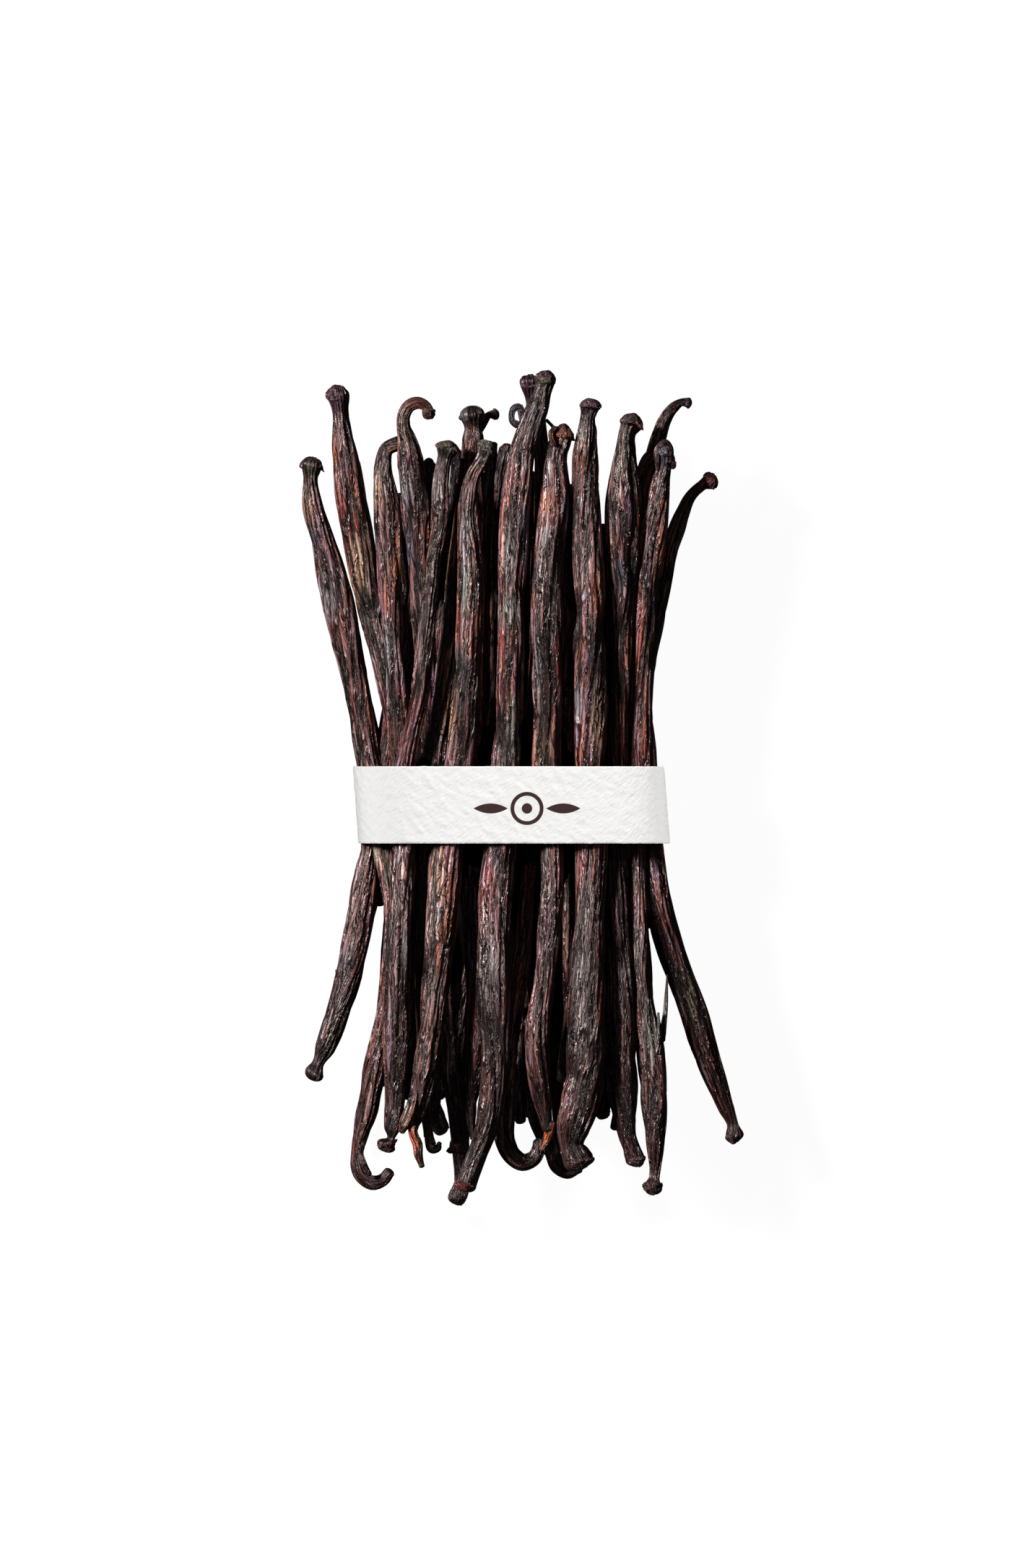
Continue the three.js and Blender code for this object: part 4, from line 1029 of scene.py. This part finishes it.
class Socket:
    """A socket of a material. Arithmetic on it adds the Math nodes."""

    def __init__(self, finish, socket):
        self.finish = finish
        self.socket = socket

    def math(self, operation, *values):
        return self.finish.node("Math", {"operation": operation}, dict(enumerate(values)))

    def __add__(self, other):
        return self.math("ADD", self, other)

    def __radd__(self, other):
        return self.math("ADD", other, self)

    def __sub__(self, other):
        return self.math("SUBTRACT", self, other)

    def __rsub__(self, other):
        return self.math("SUBTRACT", other, self)

    def __mul__(self, other):
        return self.math("MULTIPLY", self, other)

    def __rmul__(self, other):
        return self.math("MULTIPLY", other, self)

    def __abs__(self):
        return self.math("ABSOLUTE", self)

    def root(self):
        return self.math("SQRT", self)

    def larger(self, other):
        return self.math("MAXIMUM", self, other)


class Finish:
    """A material made of nodes, with one Principled shader."""

    def __init__(self, name):
        self.material = bpy.data.materials.new(name)
        self.material.use_nodes = True
        self.tree = self.material.node_tree
        self.shader = self.tree.nodes["Principled BSDF"]

    def node(self, kind, settings, inputs, output=0):
        """Adds a node: first its settings, then the values or links of its sockets."""
        added = self.tree.nodes.new("ShaderNode" + kind)
        for key, value in settings.items():
            if key == "stops":
                self.set_stops(added.color_ramp, value)
            else:
                setattr(added, key, value)
        for key, value in inputs.items():
            self.feed(added.inputs[key], value)
        return Socket(self, added.outputs[output])

    def set_stops(self, ramp, stops):
        while len(ramp.elements) < len(stops):
            ramp.elements.new(1)
        for element, (position, colour) in zip(ramp.elements, stops):
            element.position = position
            element.color = (*colour, 1)

    def feed(self, target, value):
        """Links a socket, or sets its value. A colour is given without its alpha."""
        if isinstance(value, Socket):
            self.tree.links.new(value.socket, target)
        elif target.type == "RGBA":
            target.default_value = (*value, 1)
        else:
            target.default_value = value

    def set(self, **inputs):
        for key, value in inputs.items():
            self.feed(self.shader.inputs[key.replace("_", " ")], value)

    def attribute(self, name, output="Fac"):
        return self.node("Attribute", {"attribute_name": name}, {}, output)

    def mix(self, factor, first, second):
        """Mixes two colours."""
        settings = {"data_type": "RGBA", "clamp_factor": True}
        return self.node("Mix", settings, {0: factor, 6: first, 7: second}, 2)

    def stretched(self, place, scale, shift):
        settings = {"operation": "MULTIPLY_ADD"}
        return self.node("VectorMath", settings, {0: place, 1: scale, 2: shift})

    def noise(self, place, scale, detail=3, roughness=0.5, shift=(0, 0, 0)):
        """Noise in a place's own units, stretched by scale."""
        spot = self.stretched(place, scale, shift)
        inputs = {"Vector": spot, "Scale": 1, "Detail": detail, "Roughness": roughness}
        return self.node("TexNoise", {}, inputs)

    def strands(self, place, scale, shift):
        """Long cells that taper past each other: how far in a place is, and the cell's number."""
        inputs = {"Vector": self.stretched(place, scale, shift), "Scale": 1, "Randomness": 1}
        flat = {"voronoi_dimensions": "2D"}
        inside = self.node("TexVoronoi", flat | {"feature": "DISTANCE_TO_EDGE"}, inputs, "Distance")
        own = self.node("TexVoronoi", flat | {"feature": "F1"}, inputs, "Color")
        return inside, self.node("SeparateColor", {}, {0: own}, 0)

    def step(self, value, low, high):
        """0 below low, 1 above high, smooth between."""
        inputs = {0: value, 1: low, 2: high, 3: 0, 4: 1}
        return self.node("MapRange", {"interpolation_type": "SMOOTHSTEP"}, inputs)


def pod_skin():
    """Wrinkled cured skin: strands with black creases between, painted as shade, oily and grey on their
    backs, partly a painted sheen.
    """
    finish = Finish("pod_skin")
    skin = finish.node("UVMap", {"uv_map": "skin"}, {})
    ridge = finish.attribute("ridge")
    draw = finish.attribute("draw")
    warmth = finish.attribute("warmth")
    ending = finish.attribute("ending")
    sunk = finish.attribute("sunk")
    stain = finish.attribute("stain", "Color")
    stained = finish.attribute("stain", "Alpha")

    wander = (finish.noise(skin, (0.22, 0.045, 1), 2, 0.5) * 5
              + finish.noise(skin, (0.7, 0.16, 1), 2, 0.5) * 1.6
              + finish.noise(skin, (1.1, 0.5, 1), 2, 0.5) * 0.8)
    sideways = finish.node("CombineXYZ", {}, {0: wander, 1: 0.0, 2: 0.0})
    place = finish.node("VectorMath", {"operation": "ADD"}, {0: skin, 1: sideways})
    slim, slim_draw = finish.strands(place, (1.7, 0.10, 1), (17, 31, 0))
    patches = finish.noise(skin, (0.16, 0.06, 1), 3, 0.55, (9, 4, 0))
    grain = finish.noise(skin, (3.0, 1.8, 1), 3, 0.62, (5, 71, 0))
    fibre = finish.noise(place, (4.4, 0.6, 1), 2, 0.6, (3, 11, 0))
    crack = finish.noise(place, (0.6, 1.7, 1), 3, 0.6, (21, 5, 0))

    thread = finish.step(slim, 0.0, 0.16)
    whole = finish.step(crack, 0.24, 0.36)
    height = ridge * (0.42 + 0.58 * thread) * (0.85 + 0.15 * whole) + (fibre - 0.5) * 0.5

    # the strands' backs: their own tones, made lighter and greyer in part as a painted sheen
    tops = finish.node("ValToRGB", {"stops": [
        (0.00, (0.050, 0.012, 0.010)),
        (0.18, (0.205, 0.082, 0.062)),
        (0.30, (0.165, 0.030, 0.016)),
        (0.43, (0.135, 0.108, 0.150)),
        (0.55, (0.240, 0.108, 0.068)),
        (0.67, (0.058, 0.019, 0.046)),
        (0.79, (0.205, 0.092, 0.086)),
        (0.90, (0.190, 0.036, 0.016)),
    ]}, {"Fac": draw * 0.5 + slim_draw * 0.28 + patches * 0.4 - 0.11})
    flanks = finish.mix(warmth, COLD_FLANK, WARM_FLANK)
    tops_with_painted_sheen = finish.mix(finish.step(height + grain * 0.15, 0.45, 0.95), flanks, tops)
    # dark ends, and the lower half painted darker as shade
    ends_and_lower_shade = finish.mix(ending * 0.9, tops_with_painted_sheen, DARK_END)
    coloured = finish.mix(stained * (0.85 - ending * 0.35), ends_and_lower_shade, stain)
    # painted shade: the low parts of the ridges are mixed to near black
    crease_shaded = finish.mix(finish.step(height, 0.14, 0.6), PAINTED_CREASE_SHADE, coloured)
    # pale flecks on the ridge tops: partly bloom, partly painted glints
    bloom_and_glints = finish.step(grain, 0.6, 0.75) * height * finish.step(patches, 0.45, 0.6)
    bloomed_and_glinting = finish.mix(bloom_and_glints * 0.2, crease_shaded, BLOOM_AND_GLINT)
    # painted shade: the rows underneath are mixed towards the unlit colour
    row_shaded = finish.mix(sunk * 0.8, bloomed_and_glinting, UNLIT)

    relief = thread * 0.42 + whole * 0.08 + grain * 0.08 + fibre * 0.22
    bump = finish.node("Bump", {}, {"Strength": 1.0, "Distance": 0.0006, "Height": relief})
    oiled = finish.step(grain * 0.4 + patches * 0.6, 0.45, 0.6)
    finish.set(
        Base_Color=row_shaded,
        Roughness=0.42 - oiled * 0.15,
        Specular_IOR_Level=0.4,
        Specular_Tint=(1.0, 0.78, 0.74),
        Normal=bump,
    )
    return finish.material


def painted_shade_inside():
    """What the core is made of: the same pods, too deep to see, painted near black as shade."""
    finish = Finish("painted_shade_inside")
    place = finish.node("TexCoord", {}, {}, "Object")
    streaks = finish.noise(place, (900, 60, 900), 3)
    deep = finish.mix(streaks, (0.0005, 0.0003, 0.0003), (0.004, 0.002, 0.002))
    bump = finish.node("Bump", {}, {"Strength": 0.8, "Distance": 0.0008, "Height": streaks})
    finish.set(Base_Color=deep, Roughness=0.8, Specular_IOR_Level=0.02, Normal=bump)
    return finish.material


def embossed_paper():
    """Thick white paper with a coarse tooth, and a small printed ornament in the middle."""
    finish = Finish("embossed_paper")
    place = finish.node("TexCoord", {}, {}, "Object")
    fibres = finish.noise(place, (1400, 1400, 1400), 4, 0.6)
    paper = finish.mix(fibres, (0.86, 0.85, 0.835), (0.93, 0.925, 0.91))

    side, forward, up = (finish.node("SeparateXYZ", {}, {0: place}, axis) for axis in range(3))
    x = side * 1000 - ORNAMENT_X
    y = abs(forward * 1000 - ORNAMENT_Y)
    from_middle = (x * x + y * y).root()
    ring = RING_STROKE / 2 - abs(from_middle - RING_RADIUS)
    dot = DOT_RADIUS - from_middle
    beside = abs(x) - ORNAMENT_SPREAD
    leaf = LEAF_HALF_HEIGHT - beside * beside * (LEAF_HALF_HEIGHT / LEAF_HALF_LENGTH ** 2) - y
    on_top = finish.step(up, 0.024, 0.026)
    inked = finish.step(ring.larger(leaf).larger(dot), -0.03, 0.05) * on_top
    printed = finish.mix(inked, paper, INK)

    slanted = finish.node("CombineXYZ", {}, {
        0: side * FINE_ALONG[0] + forward * FINE_ALONG[1],
        1: forward * FINE_ACROSS[0] - side * FINE_ACROSS[1],
        2: up * FINE_UP,
    })
    tooth = finish.noise(slanted, (1, 1, 1), 2, 0.5)
    relief = tooth + fibres * 0.2
    bump = finish.node("Bump", {}, {"Strength": 1.0, "Distance": 0.00022, "Height": relief})
    finish.set(Base_Color=printed, Roughness=0.88, Normal=bump)
    return finish.material


# ---- the core and the band ----

def bundle_core():
    """The heap's own shape, smaller, behind the pods that show."""
    core = bmesh.new()
    for y, half_width, half_depth in CORE_RINGS:
        matrix = (Matrix.Translation((middle_x(y) * MM, y * MM, middle_z(y) * MM))
                  @ Matrix.Diagonal((half_width * MM, 1, half_depth * MM, 1))
                  @ Matrix.Rotation(math.pi / 2, 4, "X"))
        bmesh.ops.create_circle(core, segments=CORE_SIDES, radius=1, matrix=matrix)
    bmesh.ops.bridge_loops(core, edges=core.edges[:])
    bmesh.ops.holes_fill(core, edges=[edge for edge in core.edges if edge.is_boundary])
    bmesh.ops.recalc_face_normals(core, faces=core.faces)
    for face in core.faces:
        face.smooth = True
    mesh = bpy.data.meshes.new("bundle_core")
    core.to_mesh(mesh)
    core.free()
    return shown("bundle_core", mesh, painted_shade_inside())


def band_outline():
    """The band's outside once round from underneath, and how far along it each point is."""
    angle = np.linspace(-math.pi / 2, 1.5 * math.pi, OUTLINE_POINTS)
    power = 2 / BAND_SQUARENESS
    x = np.sign(np.cos(angle)) * np.abs(np.cos(angle)) ** power * BAND_WIDTH / 2
    z = np.sign(np.sin(angle)) * np.abs(np.sin(angle)) ** power * BAND_DEPTH / 2
    run = np.concatenate([[0], np.cumsum(np.hypot(np.diff(x), np.diff(z)))])
    return x, z, run


def paper_tooth(along, y):
    """The height of the paper's tooth, which runs in slanted streaks."""
    slant = math.radians(TOOTH_SLANT)
    streak = along * math.cos(slant) + y * math.sin(slant)
    cross = y * math.cos(slant) - along * math.sin(slant) + TOOTH_SHIFT
    tooth = sum(field(cross / TOOTH_SPAN, streak / length, cells, seed) * share
                for length, cells, seed, share in TOOTH_LAYERS)
    return BAND_TOOTH * (tooth - 0.5)


def paper_band(material):
    """A strip of paper rolled round the waist, its end glued down over its start underneath."""
    x, z, run = band_outline()
    round_trip = run[-1]
    total = round_trip + BAND_LAP
    strip = bmesh.new()
    bmesh.ops.create_grid(strip, x_segments=round(total / PAPER_PITCH),
                          y_segments=round(BAND_LENGTH / PAPER_PITCH), size=0.5)
    for face in strip.faces:
        face.smooth = True
    mesh = bpy.data.meshes.new("band_wrap")
    strip.to_mesh(mesh)
    strip.free()
    flat = mesh_array(mesh.vertices, "co", 3)
    along = (flat[:, 0] + 0.5) * total
    y = flat[:, 1] * BAND_LENGTH
    at = (along - BAND_LAP / 2) % round_trip
    ahead = (at + OUTLINE_STEP) % round_trip
    behind = (at - OUTLINE_STEP) % round_trip
    outward_x = np.interp(ahead, run, z) - np.interp(behind, run, z)
    outward_z = np.interp(behind, run, x) - np.interp(ahead, run, x)
    size = np.hypot(outward_x, outward_z)
    lapped = eased((along - round_trip + LAP_RISE) / LAP_RISE) * BAND_PAPER * LAP_LIFT
    out = lapped + paper_tooth(along, y) - BAND_TOOTH / 2
    points = np.column_stack([
        np.interp(at, run, x) + outward_x / size * out - BAND_LEAN * y + BAND_X,
        y + BAND_Y,
        np.interp(at, run, z) + outward_z / size * out + BAND_Z,
    ])
    mesh.vertices.foreach_set("co", (points * MM).ravel())
    solid = bmesh.new()
    solid.from_mesh(mesh)
    bmesh.ops.recalc_face_normals(solid, faces=solid.faces)
    bmesh.ops.solidify(solid, geom=solid.faces[:], thickness=BAND_PAPER * MM)
    solid.to_mesh(mesh)
    solid.free()
    mesh.update()
    return shown("band_wrap", mesh, material)


# ---- the stage ----

VIEW_HEIGHT = 0.356
VIEW_CENTRE = (-0.00115, 0.00082)
CAMERA_DISTANCE = 2.5
OUTLINE_HEIGHT = 0.018
WORLD_GLOW = 0.05
FLOOR_GLOW = 0.965
FLOOR_HALF_WIDTH = 4


def camera():
    camera_data = bpy.data.cameras.new("camera")
    camera_data.sensor_fit = "VERTICAL"
    camera_data.sensor_height = 36
    camera_data.lens = camera_data.sensor_height * CAMERA_DISTANCE / VIEW_HEIGHT
    holder = bpy.data.objects.new("camera", camera_data)
    holder.location = (*VIEW_CENTRE, CAMERA_DISTANCE + OUTLINE_HEIGHT)
    bpy.context.scene.collection.objects.link(holder)
    bpy.context.scene.camera = holder


def lights():
    """The pods and the paper have lights of their own, because the pods are nearly black."""
    world = bpy.data.worlds.new("world")
    world.use_nodes = True
    background = world.node_tree.nodes["Background"]
    background.inputs["Color"].default_value = (1, 1, 1, 1)
    background.inputs["Strength"].default_value = WORLD_GLOW
    bpy.context.scene.world = world
    bpy.context.scene.view_settings.view_transform = "Standard"
    for name, place, size, power, lit in [
        ("key", (-1.66, 0.72, 1.44), 0.45, 185, all_but_paper),
        ("fill", (0.3, -0.2, 1.6), 1.0, 1.2, all_but_paper),
        ("paper_key", (-1.25, 0.8, 1.25), 0.4, 34, paper_only),
        ("paper_fill", (1.45, 0.75, 0.6), 0.4, 24, paper_only),
        ("paper_edge", (0.0, -1.4, 0.6), 0.4, 7, paper_only),
    ]:
        light = bpy.data.lights.new(name, "AREA")
        light.size = size
        light.energy = power
        lamp = bpy.data.objects.new(name, light)
        lamp.location = place
        lamp.rotation_euler = (-Vector(place)).to_track_quat("-Z", "Y").to_euler()
        bpy.context.scene.collection.objects.link(lamp)
        lamp.light_linking.receiver_collection = lit


def floor():
    """A pale floor that glows evenly and throws no light back on the pods."""
    bench = bmesh.new()
    bmesh.ops.create_grid(bench, x_segments=1, y_segments=1, size=FLOOR_HALF_WIDTH)
    mesh = bpy.data.meshes.new("floor")
    bench.to_mesh(mesh)
    bench.free()
    finish = Finish("pale_floor")
    finish.set(Base_Color=(0.035, 0.035, 0.035), Roughness=1.0, Specular_IOR_Level=0.0,
               Emission_Color=(1, 1, 1), Emission_Strength=FLOOR_GLOW)
    mesh.materials.append(finish.material)
    ground = bpy.data.objects.new("floor", mesh)
    bpy.context.scene.collection.objects.link(ground)
    ground.visible_glossy = False
    ground.visible_diffuse = False
    all_but_paper.objects.link(ground)


# ---- putting it together ----

def under_rows():
    """The rows underneath, by the names of their pieces."""
    rows = {"pods_in_the_gaps": gap_pods()}
    placed = 0
    for name, (lift, half_width, skip) in UNDER_ROWS.items():
        rows[name] = under_pods(placed, lift, half_width, skip)
        placed += len(rows[name])
    return rows


def pods_piece(name, tube, pods):
    """One piece from several pods, each given with its stains and how far it is out of light."""
    parts = [bent_pod(tube, pod, next(pod_seeds), stains, sunk) for pod, stains, sunk in pods]
    return joined_piece(name, tube, parts, skin_material)


def with_stains(pods, members):
    """The named pods with their own stains, in full light."""
    return [(pods[member], STAINS_AND_PAINTED_LIGHT.get(member, ()), 0) for member in members]


all_but_paper = bpy.data.collections.new("all_but_paper")
paper_only = bpy.data.collections.new("paper_only")
camera()
lights()
floor()

skin_material = pod_skin()
shown_tube = straight_tube("shown_tube", SHOWN_SIDES, SHOWN_RINGS)
under_tube = straight_tube("under_tube", UNDER_SIDES, UNDER_RINGS)
knob_ball = round_ball("knob_ball")
pod_seeds = itertools.count(FIRST_POD_SEED, POD_SEED_STEP)

pieces = []
for name, members in SHOWN_PIECES.items():
    pieces.append(pods_piece(name, shown_tube, with_stains(PODS, members)))
for name, row in under_rows().items():
    pieces.append(pods_piece(name, under_tube, [(pod, (), PAINTED_ROW_SHADE[name]) for pod in row]))
knobs = [knob(knob_ball, row, FIRST_KNOB_SEED + index * KNOB_SEED_STEP)
         for index, row in enumerate(KNOBS)]
pieces.append(joined_piece("pod_knobs", knob_ball, knobs, skin_material))
pieces.append(pods_piece("torn_ends_and_shade_strips", under_tube, with_stains(SCRAPS, SCRAPS)))
pieces.append(bundle_core())
for piece in pieces:
    all_but_paper.objects.link(piece)
    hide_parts("vanilla_pods")
band = paper_band(embossed_paper())
paper_only.objects.link(band)
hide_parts("paper_band")
